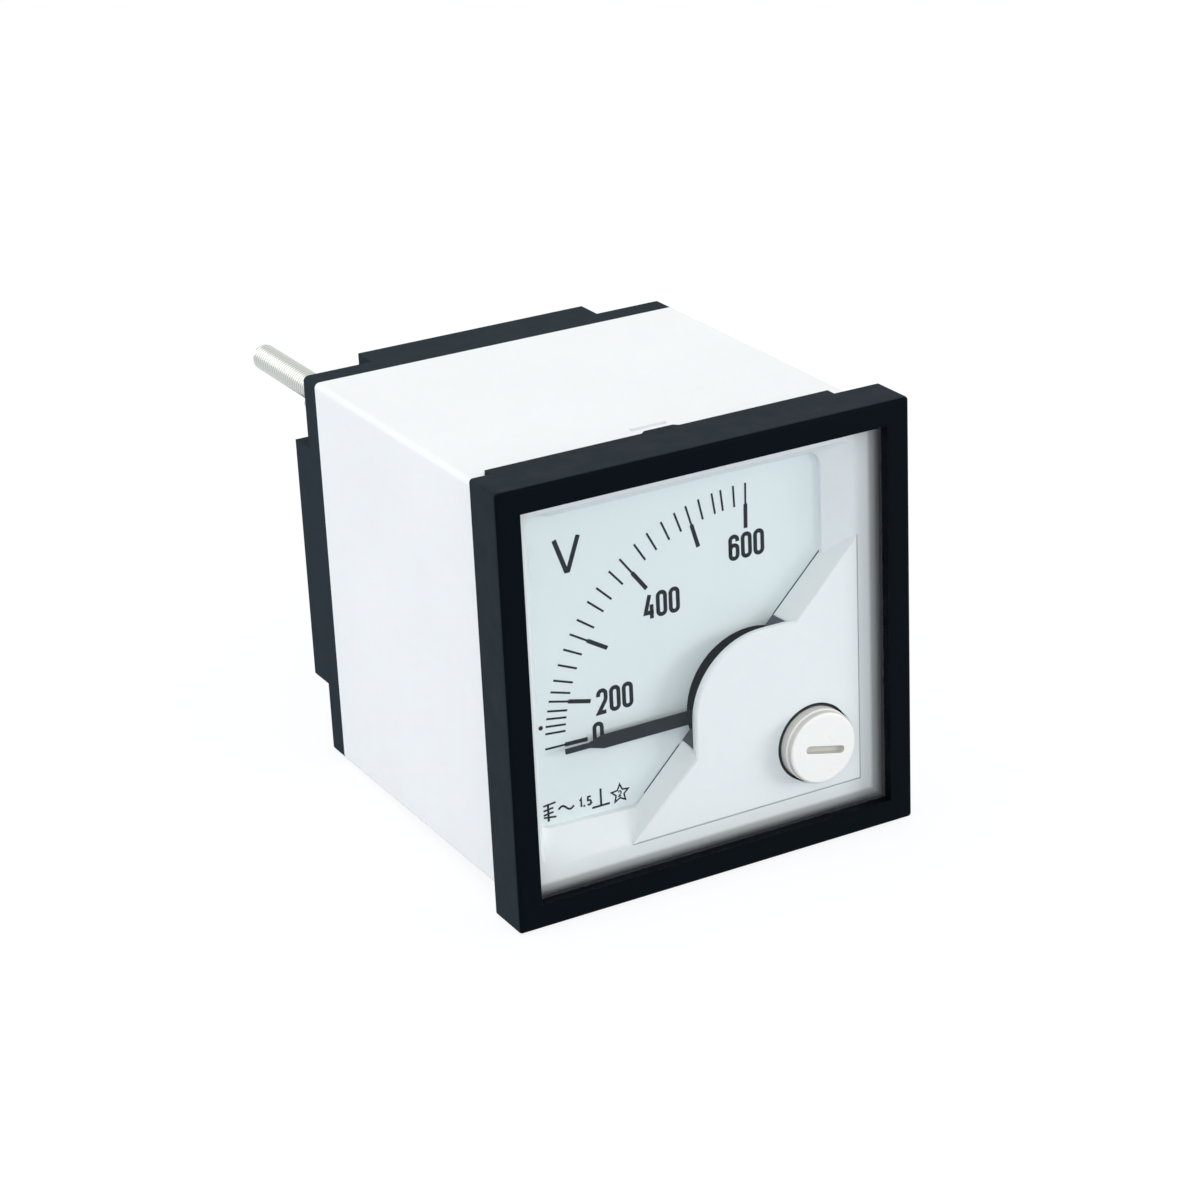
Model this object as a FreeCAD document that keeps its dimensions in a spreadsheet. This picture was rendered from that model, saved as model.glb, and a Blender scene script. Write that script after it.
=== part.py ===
import FreeCAD, Part
import math
import os
import re
import Sketcher

# Analog panel meter, 48 mm square, moving-iron movement with a 90 degree scale.
# X is to the right seen from the front, Y runs backwards into the panel, Z is up.
# The origin is the centre of the bezel's panel-side face.
# A size whose name ends in _depth is measured backwards from the bezel's front face.

SIZES = {
    # Bezel: shallow frame with two snap skirts
    "bezel_side": 48.0, "bezel_thickness": 5.3, "bezel_round": 0.4, "lip_thickness": 1.8,
    "window_side": 42.6, "cavity_play": 0.1,
    "skirt_width": 40.4, "skirt_reach": 4.2, "skirt_rise": 0.4, "skirt_thickness": 1.0,
    "skirt_play": 0.05, "tongue_width": 4.4, "tongue_reach": 0.5, "tongue_chamfer": 0.5,
    "catch_height": 0.45, "catch_length": 1.0, "catch_width": 3.6, "catch_play": 0.1,
    # Case: square tube that goes through the panel
    "case_side": 44.8, "case_wall": 2.0, "case_round": 0.6, "case_front_depth": 3.2,
    "case_back_depth": 45.1, "ledge_width": 1.2, "boss_side": 7.0, "boss_gap": 6.8,
    "slot_width": 4.4, "slot_length": 0.7, "slot_cut": 0.5, "slot_gap": 1.6,
    # Rear cover with its cross-shaped block
    "cover_thickness": 2.9, "block_height": 4.3, "notch_side": 8.3, "cover_round": 0.9,
    "well_side": 9.4, "well_cut": 3.4, "terminal_pitch": 21.0,
    # Window pane
    "pane_depth": 0.6, "pane_play": 0.1, "pane_round": 0.8, "pane_flange": 0.5,
    "pane_flange_width": 1.9,
    # Dial and its mask
    "dial_depth": 5.0, "dial_thickness": 0.5, "dial_play": 0.2,
    "mask_play": 0.1, "plateau_depth": 2.0,
    "plate_thickness": 0.7, "plateau_reach": 18.8, "bevel_step": 0.6,
    "opening_right": 15.9, "opening_top": 18.4, "bevel_run": 2.9, "bevel_run_hidden": 1.5,
    "opening_round": 1.8, "flank_base": 8.6, "flank_draft": 1.0, "shoulder": 10.0,
    "shield_radius": 8.5, "plateau_gap": 0.15, "recess_radius": 8.95, "plateau_round": 0.2,
    # Movement axis and its frame
    "pivot_x": 7.1, "pivot_z": -7.1, "drum_radius": 7.6, "drum_bore": 6.2, "drum_play": 0.2,
    "drum_rise": 0.3, "drum_floor_depth": 8.2, "floor_thickness": 1.0, "frame_thickness": 2.5,
    "frame_play": 0.1, "boss_radius": 1.75, "boss_tip_depth": 6.7, "shoulder_radius": 2.6,
    "floor_hole_radius": 0.8, "pillar_radius": 2.2, "pillar_pitch": 24.0,
    "wire_window": 15.0, "window_margin": 3.0,
    # Zero adjuster and its lever
    "adjuster_x": 12.9, "adjuster_z": -12.9, "adjuster_radius": 4.06, "adjuster_play": 0.19,
    "adjuster_round": 0.3, "collar_radius": 4.55, "collar_thickness": 0.65, "collar_play": 0.05,
    "adjuster_base_radius": 4.12,
    "slot_long": 4.9, "slot_wide": 0.65, "slot_deep": 0.7, "slot_tilt": -18.6,
    "crank_offset": 1.5, "crank_radius": 0.5, "crank_tip_depth": 7.6, "fork_play": 0.15,
    "lever_depth": 6.9, "lever_thickness": 0.5, "lever_play": 0.05, "lever_ring": 0.85,
    "fork_wall": 0.7, "fork_overrun": 0.7, "lever_window": 5.4, "stud_arm_length": 3.8,
    "stud_radius": 0.3, "collar_pocket": 4.9,
    # Bearings and staff
    "bridge_depth": 2.9, "bridge_thickness": 0.35, "bridge_arm": 1.4, "bridge_hub": 1.8,
    "foot_radius": 0.7, "foot_pitch": 6.9, "jewel_radius": 0.9, "jewel_rise": 0.12,
    "jewel_length": 0.85, "jewel_bore": 0.5, "jewel_cone": 0.5, "jewel_fit": 0.02,
    "staff_radius": 0.4, "staff_cone": 0.4, "tip_radius": 0.08, "endshake": 0.15,
    "rear_jewel_radius": 1.2, "rear_jewel_length": 3.4, "rear_jewel_rise": 1.2,
    # Pointer and its balance
    "pointer_depth": 3.8, "pointer_thickness": 0.2, "pointer_length": 22.8, "pointer_width": 1.5,
    "pointer_tip": 0.55, "taper_start": 18.4, "taper_end": 20.0, "pointer_hub": 1.3,
    "tail_length": 4.8, "tail_width": 0.4, "weight_radius": 0.5, "weight_length": 1.2,
    "weight_inset": 0.3,
    # Damping vane, swept inside the drum
    "vane_arm_depth": 4.95, "vane_arm_thickness": 0.2, "vane_arm_width": 0.8,
    "vane_inner": 4.2, "vane_outer": 5.9, "vane_sheet": 0.25, "vane_height": 2.4,
    "vane_angle": 80.0, "collet_radius": 0.85, "collet_length": 1.2,
    # Hairspring: half rings of growing radius
    "spring_depth": 5.7, "spring_width": 0.4, "spring_strip": 0.1, "spring_turns": 4,
    # Coil and irons
    "coil_bore": 4.2, "bobbin_wall": 0.9, "flange_radius": 9.5, "flange_thickness": 1.0,
    "coil_length": 12.8, "winding_inset": 0.4, "iron_sheet": 0.4, "iron_play": 0.05,
    "fixed_iron_length": 9.0, "fixed_iron_span": 110.0, "fixed_iron_angle": 200.0,
    "moving_iron_radius": 3.1, "moving_iron_length": 8.0, "moving_iron_span": 70.0,
    "moving_iron_angle": 150.0, "hub_radius": 0.8, "web_thickness": 0.4,
    # Rear bridge and screws
    "rear_bridge_thickness": 1.2, "rear_bridge_width": 5.4,
    "bridge_screw_radius": 0.9, "bridge_screw_length": 7.0, "bridge_head_radius": 1.7,
    "bridge_head_height": 1.1, "screw_fit": 0.02,
    "dial_screw_x": 17.0, "dial_screw_z": 1.0, "dial_screw_radius": 0.8, "dial_head_radius": 1.5,
    "dial_head_height": 0.7, "dial_screw_length": 2.6, "head_play": 0.3,
    # Fixing studs, M3, with the nuts that hold the cover
    "stud_offset": 18.3, "shank_radius": 1.25, "thread_radius": 1.5, "stud_end_depth": 69.0,
    "stud_chamfer": 0.45, "stud_floor": 4.0, "nut_across_flats": 5.5, "nut_height": 2.4, "washer_radius": 3.0,
    "washer_thickness": 0.5,
    # Terminals, M4
    "bushing_radius": 3.0, "bushing_reach": 3.6, "bushing_flange": 3.6, "bushing_rim": 0.5,
    "terminal_thread": 1.95, "terminal_length": 7.0, "clamp_side": 8.0, "clamp_thickness": 1.2,
    "terminal_head_radius": 3.4, "terminal_head_height": 1.6,
    "drive_width": 0.9, "drive_cut": 0.9,
    # Series resistors on their board, and the coil leads
    "board_play": 2.2, "board_width": 16.0, "board_thickness": 1.2,
    "resistor_radius": 2.0, "resistor_length": 11.0, "resistor_pitch": 8.0, "resistor_x": -3.0,
    "resistor_lead": 0.35, "resistor_leg": 1.5,
    "wire_radius": 0.5, "lead_right": 5.9, "lead_above": 3.1, "lead_left": 5.5, "lead_below": 0.1,
}

doc = FreeCAD.newDocument("panel_meter")
sheet = doc.addObject("Spreadsheet::Sheet", "Sizes")
for row, (alias, number) in enumerate(SIZES.items(), start=1):
    sheet.set(f"A{row}", alias)
    sheet.set(f"B{row}", str(number))
    sheet.setAlias(f"B{row}", alias)
doc.recompute()

V = FreeCAD.Vector
AXIS_BACK = V(0, 1, 0)
TURN_TO_BACK = FreeCAD.Rotation(V(1, 0, 0), -90)
nodes = []


def rule(text):
    """The expression for a size, with each alias read from the sheet."""
    return re.sub(r"[a-z_]+\w*", lambda m: "Sizes." + m.group() if m.group() in SIZES else m.group(), text)


def value(text):
    """The number that a rule gives now."""
    return float(sheet.evalExpression(rule(text)))


def depth(text):
    """A place on Y, from a depth behind the bezel's front face."""
    return f"({text}) - bezel_thickness"


def node(thing, label):
    """Names a finished sub-part and lists it for the export."""
    thing.Label = label
    nodes.append(thing)
    return thing


def bind(thing, prop, text):
    """Ties a property to a formula of named sizes."""
    thing.setExpression(prop, rule(text))


# Bodies, sketches and features

def new_body(name, x="0", y="0", z="0", turn="0"):
    """A body whose own frame stands at x, y, z, turned by some degrees about the Y axis."""
    body = doc.addObject("PartDesign::Body", name)
    body.Placement = FreeCAD.Placement(V(0, 0, 0), FreeCAD.Rotation(AXIS_BACK, value(turn) or 0))
    for axis, text in zip("xyz", (x, y, z)):
        bind(body, f"Placement.Base.{axis}", text)
    return body


def plane(body, role):
    """One of the three origin planes of a body."""
    return next(feature for feature in body.Origin.OriginFeatures if feature.Role == role)


def new_sketch(body, at="0", role="XZ_Plane"):
    """A sketch parallel to one of the body's planes; the front one looks along +Y from y = at."""
    sketch = body.newObject("Sketcher::SketchObject", "Sketch")
    sketch.AttachmentSupport = [(plane(body, role), "")]
    sketch.MapMode = "FlatFace"
    bind(sketch, "AttachmentOffset.Base.z", f"-({at})" if role == "XZ_Plane" else at)
    return sketch


def pin_point(sketch, edge, end, x, z):
    """Ties a point of an edge to the sketch's origin by two driving distances."""
    for kind, text in (("DistanceX", x), ("DistanceY", z)):
        index = sketch.addConstraint(Sketcher.Constraint(kind, -1, 1, edge, end, value(text)))
        bind(sketch, f"Constraints[{index}]", text)


def polygon(sketch, corners):
    """A closed outline of straight edges through the corners."""
    first = sketch.GeometryCount
    places = [V(value(x), value(z), 0) for x, z in corners]
    for here, there in zip(places, places[1:] + places[:1]):
        sketch.addGeometry(Part.LineSegment(here, there), False)
    for step, (x, z) in enumerate(corners):
        after = first + (step + 1) % len(corners)
        sketch.addConstraint(Sketcher.Constraint("Coincident", first + step, 2, after, 1))
        pin_point(sketch, first + step, 1, x, z)
    return sketch


def rectangle(sketch, left, right, bottom, top):
    """Four straight edges between named limits."""
    return polygon(sketch, [(left, bottom), (right, bottom), (right, top), (left, top)])


def square(sketch, side):
    """A square round the sketch's origin."""
    half = f"({side}) / 2"
    return rectangle(sketch, f"-({half})", half, f"-({half})", half)


def rounded(sketch, left, right, bottom, top, radius):
    """A rectangle with round corners, as straight edges and quarter circles in turn."""
    first = sketch.GeometryCount
    low_x, high_x = f"({left} + {radius})", f"({right} - {radius})"
    low_z, high_z = f"({bottom} + {radius})", f"({top} - {radius})"
    sides = [((low_x, bottom), (high_x, bottom)), ((right, low_z), (right, high_z)),
             ((high_x, top), (low_x, top)), ((left, high_z), (left, low_z))]
    middles = [(high_x, low_z), (high_x, high_z), (low_x, high_z), (low_x, low_z)]
    for quarter, (side, middle) in enumerate(zip(sides, middles), start=-1):
        ends = [V(value(x), value(z), 0) for x, z in side]
        sketch.addGeometry(Part.LineSegment(*ends), False)
        ring = Part.Circle(V(value(middle[0]), value(middle[1]), 0), V(0, 0, 1), value(radius))
        sketch.addGeometry(Part.ArcOfCircle(ring, quarter * math.pi / 2, (quarter + 1) * math.pi / 2), False)
    for step, side in enumerate(sides):
        line, arc = first + 2 * step, first + 2 * step + 1
        after = first + (2 * step + 2) % 8
        pin_point(sketch, line, 1, *side[0])
        pin_point(sketch, line, 2, *side[1])
        sketch.addConstraint(Sketcher.Constraint("Coincident", line, 2, arc, 1))
        sketch.addConstraint(Sketcher.Constraint("Coincident", arc, 2, after, 1))
        size = sketch.addConstraint(Sketcher.Constraint("Radius", arc, value(radius)))
        bind(sketch, f"Constraints[{size}]", radius)
    return sketch


def circle(sketch, x, z, radius):
    """A circle whose centre and radius follow named sizes."""
    index = sketch.addGeometry(Part.Circle(V(value(x), value(z), 0), V(0, 0, 1), value(radius)), False)
    pin_point(sketch, index, 3, x, z)
    size = sketch.addConstraint(Sketcher.Constraint("Radius", index, value(radius)))
    bind(sketch, f"Constraints[{size}]", radius)
    return sketch


def pad(body, sketch, length):
    """Adds material backwards from the sketch."""
    feature = body.newObject("PartDesign::Pad", "Pad")
    feature.Profile = sketch
    feature.Reversed = True
    bind(feature, "Length", length)
    sketch.Visibility = False
    doc.recompute()
    return feature


def pocket(body, sketch, length):
    """Cuts backwards from the sketch."""
    feature = body.newObject("PartDesign::Pocket", "Pocket")
    feature.Profile = sketch
    bind(feature, "Length", length)
    doc.recompute()
    return feature


def loft(body, kind, front, rear):
    """Straight walls between two outlines, added or cut away."""
    feature = body.newObject("PartDesign::" + kind, kind)
    feature.Profile = front
    feature.Sections = [rear]
    feature.Ruled = True
    doc.recompute()
    return feature


def turned(name, profile, x="0", z="0"):
    """A body turned about the Y axis, from (radius, y) corners."""
    body = new_body(name, x, "0", z)
    sketch = polygon(new_sketch(body, role="XY_Plane"), profile)
    feature = body.newObject("PartDesign::Revolution", "Revolution")
    feature.Profile = sketch
    feature.ReferenceAxis = (sketch, ["V_Axis"])
    feature.Angle = 360
    doc.recompute()
    return body


def edges_where(feature, test):
    """The names of a feature's edges that pass a test."""
    return [f"Edge{index}" for index, edge in enumerate(feature.Shape.Edges, start=1) if test(edge)]


def dress(body, kind, base, names, prop, size):
    """A fillet or chamfer on the named edges of the last feature."""
    feature = body.newObject("PartDesign::" + kind, kind)
    feature.Base = (base, names)
    bind(feature, prop, size)
    doc.recompute()
    return feature


def along_y(edge):
    """True for a straight edge that runs along the Y axis."""
    box = edge.BoundBox
    return box.YLength > TOUCH and box.XLength < TOUCH and box.ZLength < TOUCH


# Primitives, for pieces that are plain sums and differences

def placed(thing, x, y, z, rotation):
    """Turns a primitive and ties its place to named sizes."""
    thing.Placement = FreeCAD.Placement(V(0, 0, 0), rotation)
    for axis, text in zip("xyz", (x, y, z)):
        bind(thing, f"Placement.Base.{axis}", text)
    return thing


def rod(name, radius, length, x, y, z, span="360", turn=0.0):
    """A cylinder that runs backwards from y, or a sector of one, clockwise from the turn."""
    thing = doc.addObject("Part::Cylinder", name)
    bind(thing, "Radius", radius)
    bind(thing, "Height", length)
    bind(thing, "Angle", span)
    return placed(thing, x, y, z, FreeCAD.Rotation(AXIS_BACK, turn) * TURN_TO_BACK)


def block(name, sizes, x, y, z):
    """A box from its lowest corner."""
    thing = doc.addObject("Part::Box", name)
    for prop, text in zip(("Length", "Width", "Height"), sizes):
        bind(thing, prop, text)
    return placed(thing, x, y, z, FreeCAD.Rotation())


def cut(name, base, tool):
    """One solid less another."""
    thing = doc.addObject("Part::Cut", name)
    thing.Base, thing.Tool = base, tool
    return thing


def fuse(name, *members):
    """Touching solids joined into one."""
    thing = doc.addObject("Part::MultiFuse", name)
    thing.Shapes = list(members)
    return thing


def group(name, *members):
    """Separate solids kept together as one sub-part."""
    thing = doc.addObject("Part::Compound", name)
    thing.Links = list(members)
    return thing


# Places that several pieces share
CAVITY_SIDE = "(case_side + 2 * cavity_play)"
CASE_INSIDE = "(case_side - 2 * case_wall)"
STRIP_DEPTH = "(lip_thickness + pane_flange)"
SKIRT_OUTSIDE = "(case_side / 2 + skirt_rise)"
SKIRT_INSIDE = "(case_side / 2 + skirt_rise - skirt_thickness)"
SKIRT_END = "(bezel_thickness + skirt_reach)"
FRAME_FRONT = "(dial_depth + dial_thickness)"
FRAME_BACK = "(dial_depth + dial_thickness + frame_thickness)"
DRUM_FRONT = "(dial_depth - drum_rise)"
DRUM_BACK = "(drum_floor_depth + floor_thickness)"
COIL_BACK = "(drum_floor_depth + floor_thickness + coil_length)"
PLATE_BACK = "(plateau_depth + plate_thickness)"
COVER_BACK = "(case_back_depth + cover_thickness)"
BLOCK_BACK = "(case_back_depth + cover_thickness + block_height)"
WELL_FLOOR = "(case_back_depth + cover_thickness + block_height - well_cut)"
ADJUSTER_HOLE = "(adjuster_radius + adjuster_play)"
BOSS_FRONT = f"({COIL_BACK} + rear_bridge_thickness + bridge_head_height + boss_gap)"
BOARD_FRONT = "(case_back_depth - bushing_reach)"
TWO_SIDES = (-1, 1)
TOUCH = 1e-3


def bezel():
    """Black front frame: lip round the window, cavity for pane and case, snap skirts above and below."""
    body = new_body("bezel")
    frame = pad(body, square(new_sketch(body, depth("0")), "bezel_side"), "bezel_thickness")
    front = value(depth("0"))
    soft = edges_where(frame, lambda e: along_y(e) or e.BoundBox.YMax < front + TOUCH)
    dress(body, "Fillet", frame, soft, "Radius", "bezel_round")
    pocket(body, square(new_sketch(body, depth("0")), "window_side"), "lip_thickness")
    pocket(body, square(new_sketch(body, depth("lip_thickness")), CAVITY_SIDE),
           "bezel_thickness - lip_thickness")
    skirt = new_sketch(body, depth("case_front_depth"))
    rectangle(skirt, "-skirt_width / 2", "skirt_width / 2", SKIRT_INSIDE, SKIRT_OUTSIDE)
    skirt = pad(body, skirt, f"{SKIRT_END} - case_front_depth")
    tongue = new_sketch(body, "0", "XY_Plane")
    tongue.AttachmentOffset = FreeCAD.Placement(V(0, 0, 0), FreeCAD.Rotation())
    bind(tongue, "AttachmentOffset.Base.z", SKIRT_INSIDE)
    root, tip = depth(SKIRT_END), depth(f"{SKIRT_END} + tongue_reach")
    polygon(tongue, [("-tongue_width / 2", root), ("tongue_width / 2", root),
                     ("tongue_width / 2 - tongue_chamfer", tip), ("tongue_chamfer - tongue_width / 2", tip)])
    tongue_pad = body.newObject("PartDesign::Pad", "Tongue")
    tongue_pad.Profile = tongue
    bind(tongue_pad, "Length", "skirt_thickness")
    catch = new_sketch(body, depth(f"{SKIRT_END} + tongue_reach - catch_length"))
    rectangle(catch, "-catch_width / 2", "catch_width / 2", f"{SKIRT_INSIDE} - catch_height", SKIRT_INSIDE)
    catch_pad = pad(body, catch, "catch_length")
    mirror = body.newObject("PartDesign::Mirrored", "Lower_skirt")
    mirror.Originals = [skirt, tongue_pad, catch_pad]
    mirror.MirrorPlane = (plane(body, "XY_Plane"), [""])
    body.Tip = mirror
    node(body, "bezel")


def window_pane():
    """Clear pane that fills the bezel's window; its flange is held between the lip and the mask."""
    body = new_body("window_pane")
    outside = f"({CAVITY_SIDE} - 2 * pane_play)"
    pad(body, square(new_sketch(body, depth("pane_depth")), "window_side - 2 * pane_play"),
        "lip_thickness - pane_depth")
    ring = square(new_sketch(body, depth("lip_thickness")), outside)
    flange = pad(body, square(ring, f"{outside} - 2 * pane_flange_width"), "pane_flange")
    corners = edges_where(flange, lambda e: along_y(e)
                          and e.BoundBox.XMax ** 2 > value(f"{outside} / 2 - pane_play") ** 2)
    dress(body, "Fillet", flange, corners, "Radius", "pane_round")
    hole = circle(new_sketch(body, depth("pane_depth")), "adjuster_x", "adjuster_z", ADJUSTER_HOLE)
    pocket(body, hole, "lip_thickness - pane_depth")
    node(body, "window_pane")


def dial_mask():
    """White moulding: flange, bevelled opening over the dial, and the raised corner over the movement."""
    body = new_body("dial_mask")
    outside = f"({CAVITY_SIDE} - 2 * pane_play)"
    inside = f"({CASE_INSIDE} - 2 * mask_play)"
    pad(body, square(new_sketch(body, depth(STRIP_DEPTH)), outside), f"case_front_depth - {STRIP_DEPTH}")
    pad(body, square(new_sketch(body, depth("case_front_depth")), inside), "dial_depth - case_front_depth")

    foot = "(dial_depth - bevel_step)"
    right, top = "opening_right", "opening_top"
    wide = rounded(new_sketch(body, depth(STRIP_DEPTH)), f"-{top} - bevel_run_hidden", f"{right} + bevel_run",
                   f"-{right} - bevel_run", f"{top} + bevel_run_hidden", "opening_round")
    narrow = rounded(new_sketch(body, depth(foot)), f"-{top}", right, f"-{right}", top, "opening_round")
    loft(body, "SubtractiveLoft", wide, narrow)
    throat = rounded(new_sketch(body, depth(foot)), f"-{top}", right, f"-{right}", top, "opening_round")
    pocket(body, throat, "bevel_step")

    reach, back = "plateau_reach", "(dial_depth - plateau_gap)"
    face_offset = "(flank_base + flank_draft)"
    face = polygon(new_sketch(body, depth("plateau_depth")),
                   [(reach, f"{reach} - {face_offset}"), (f"{face_offset} - {reach}", f"-{reach}"),
                    (reach, f"-{reach}")])
    base = polygon(new_sketch(body, depth(back)),
                   [(reach, f"{reach} - flank_base"), (f"flank_base - {reach}", f"-{reach}"),
                    (reach, f"-{reach}")])
    loft(body, "AdditiveLoft", face, base)
    core = polygon(new_sketch(body, depth("plateau_depth")),
                   [("shoulder", "shoulder - flank_base"), ("shoulder", "-shoulder"),
                    ("flank_base - shoulder", "-shoulder")])
    pad(body, core, f"{back} - plateau_depth")
    side = "(shoulder + flank_draft)"
    plate = polygon(new_sketch(body, depth("plateau_depth")),
                    [("pivot_x", "pivot_z + shield_radius"), (side, "pivot_z + shield_radius"),
                     (side, f"-{side}"),
                     ("pivot_x - shield_radius", f"-{side}"), ("pivot_x - shield_radius", "pivot_z")])
    pad(body, plate, "plate_thickness")
    shield = pad(body, circle(new_sketch(body, depth("plateau_depth")), "pivot_x", "pivot_z",
                              "shield_radius"),
                 "plate_thickness")
    top_face = value(depth("plateau_depth"))
    soft = edges_where(shield, lambda e: abs(e.BoundBox.YMin - top_face) < TOUCH
                       and abs(e.BoundBox.YMax - top_face) < TOUCH)
    dress(body, "Chamfer", shield, soft, "Size", "plateau_round")
    pocket(body, circle(new_sketch(body, depth(PLATE_BACK)), "pivot_x", "pivot_z", "recess_radius"),
           f"dial_depth - {PLATE_BACK}")
    pocket(body, circle(new_sketch(body, depth(PLATE_BACK)), "adjuster_x", "adjuster_z", "collar_pocket"),
           f"dial_depth - {PLATE_BACK}")
    pocket(body, circle(new_sketch(body, depth("plateau_depth")), "adjuster_x", "adjuster_z", ADJUSTER_HOLE),
           "plate_thickness")
    for x, z in (("dial_screw_x", "dial_screw_z"), ("-dial_screw_z", "-dial_screw_x")):
        start = "(dial_depth - dial_head_height - head_play)"
        pocket(body, circle(new_sketch(body, depth(start)), x, z, "dial_head_radius + head_play"),
               f"dial_depth - {start}")
    node(body, "dial_mask")


def zero_adjuster():
    """White knob with a screwdriver slot, a collar behind the mask and a crank pin for the lever."""
    face, collar = depth("0"), depth(f"{PLATE_BACK} + collar_play")
    back = f"{collar} + collar_thickness"
    profile = [("0", face), ("adjuster_radius", face), ("adjuster_base_radius", collar),
               ("collar_radius", collar),
               ("collar_radius", back), ("0", back)]
    body = turned("zero_adjuster", profile, "adjuster_x", "adjuster_z")
    rim = edges_where(body.Tip, lambda e: e.BoundBox.YMax < value(face) + TOUCH)
    dress(body, "Chamfer", body.Tip, rim, "Size", "adjuster_round")
    slot = new_sketch(body, face)
    slot.AttachmentOffset = FreeCAD.Placement(V(0, 0, 0), FreeCAD.Rotation(V(0, 0, 1), value("slot_tilt")))
    bind(slot, "AttachmentOffset.Base.z", f"-({face})")
    rectangle(slot, "-slot_long / 2", "slot_long / 2", "-slot_wide / 2", "slot_wide / 2")
    pocket(body, slot, "slot_deep")
    toward = "(crank_offset * sqrt(0.5))"
    pin = circle(new_sketch(body, back), f"-{toward}", toward, "crank_radius")
    pad(body, pin, f"crank_tip_depth - ({PLATE_BACK} + collar_play + collar_thickness)")
    node(body, "zero_adjuster")


def dial_plate():
    """Printed metal dial, open round the drum and the adjuster's crank."""
    body = new_body("dial_plate")
    pad(body, square(new_sketch(body, depth("dial_depth")), f"{CASE_INSIDE} - 2 * dial_play"),
        "dial_thickness")
    holes = [("pivot_x", "pivot_z", "drum_radius + drum_play"),
             ("adjuster_x", "adjuster_z", "crank_offset + crank_radius + 2 * head_play"),
             ("dial_screw_x", "dial_screw_z", "dial_screw_radius + screw_fit"),
             ("-dial_screw_z", "-dial_screw_x", "dial_screw_radius + screw_fit")]
    for x, z, radius in holes:
        pocket(body, circle(new_sketch(body, depth("dial_depth")), x, z, radius), "dial_thickness")
    node(body, "dial_plate")


def screw(name, x, z, head, head_height, shank, length, seat, backwards=True):
    """A plain cheese-head screw whose head sits on y = seat."""
    way = "+" if backwards else "-"
    other = "-" if backwards else "+"
    profile = [("0", f"{seat} {other} {head_height}"), (head, f"{seat} {other} {head_height}"), (head, seat),
               (shank, seat), (shank, f"{seat} {way} {length}"), ("0", f"{seat} {way} {length}")]
    return turned(name, profile, x, z)


def dial_screws():
    """The two screws that hold the dial on its seat."""
    places = (("dial_screw_x", "dial_screw_z"), ("-dial_screw_z", "-dial_screw_x"))
    screws = [screw(f"dial_screw_{n}", x, z, "dial_head_radius", "dial_head_height", "dial_screw_radius",
                    "dial_screw_length", depth("dial_depth")) for n, (x, z) in enumerate(places, start=1)]
    node(group("dial_screw_pair", *screws), "dial_screws")


def movement_frame():
    """Black moulding: seat for the dial, drum round the bearing, lever boss and two pillars."""
    body = new_body("movement_frame")
    pad(body, square(new_sketch(body, depth(FRAME_FRONT)), f"{CASE_INSIDE} - 2 * frame_play"),
        "frame_thickness")
    pad(body, circle(new_sketch(body, depth(DRUM_FRONT)), "pivot_x", "pivot_z", "drum_radius"),
        f"{DRUM_BACK} - {DRUM_FRONT}")
    pocket(body, circle(new_sketch(body, depth(DRUM_FRONT)), "pivot_x", "pivot_z", "drum_bore"),
           f"drum_floor_depth - {DRUM_FRONT}")
    collar = "(lever_depth + lever_thickness + lever_play)"
    pad(body, circle(new_sketch(body, depth(collar)), "pivot_x", "pivot_z", "shoulder_radius"),
        f"drum_floor_depth - {collar}")
    pad(body, circle(new_sketch(body, depth("boss_tip_depth")), "pivot_x", "pivot_z", "boss_radius"),
        "drum_floor_depth - boss_tip_depth")
    pocket(body, circle(new_sketch(body, depth("boss_tip_depth")), "pivot_x", "pivot_z", "floor_hole_radius"),
           f"{DRUM_BACK} - boss_tip_depth")
    for side in TWO_SIDES:
        x = f"pivot_x + {side} * pillar_pitch / 2 * sqrt(0.5)"
        z = f"pivot_z - {side} * pillar_pitch / 2 * sqrt(0.5)"
        pad(body, circle(new_sketch(body, depth(FRAME_FRONT)), x, z, "pillar_radius"),
            f"{COIL_BACK} - {FRAME_FRONT}")
        pocket(body, circle(new_sketch(body, depth(f"{COIL_BACK} - bridge_screw_length")), x, z,
                            "bridge_screw_radius + screw_fit"), "bridge_screw_length")
    for x, z in (("dial_screw_x", "dial_screw_z"), ("-dial_screw_z", "-dial_screw_x")):
        pocket(body, circle(new_sketch(body, depth(FRAME_FRONT)), x, z, "dial_screw_radius + screw_fit"),
               "frame_thickness")
    window = new_sketch(body, depth(FRAME_FRONT))
    low = f"window_margin - {CASE_INSIDE} / 2"
    rectangle(window, low, f"{low} + wire_window", f"-({low}) - wire_window", f"-({low})")
    pocket(body, window, "frame_thickness")
    # Opening for the lever and the crank, cut along the line from the pivot to the adjuster
    across = "lever_window / 2 * sqrt(0.5)"
    near, far = "(boss_radius + shoulder_radius)", "(drum_radius + lever_window / 2)"
    start, end = f"{near} * sqrt(0.5)", f"{far} * sqrt(0.5)"
    path = polygon(new_sketch(body, depth(DRUM_FRONT)),
                   [(f"pivot_x + {start} - {across}", f"pivot_z - {start} - {across}"),
                    (f"pivot_x + {end} - {across}", f"pivot_z - {end} - {across}"),
                    (f"pivot_x + {end} + {across}", f"pivot_z - {end} + {across}"),
                    (f"pivot_x + {start} + {across}", f"pivot_z - {start} + {across}")])
    pocket(body, path, f"drum_floor_depth - {DRUM_FRONT}")
    node(body, "movement_frame")


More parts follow.
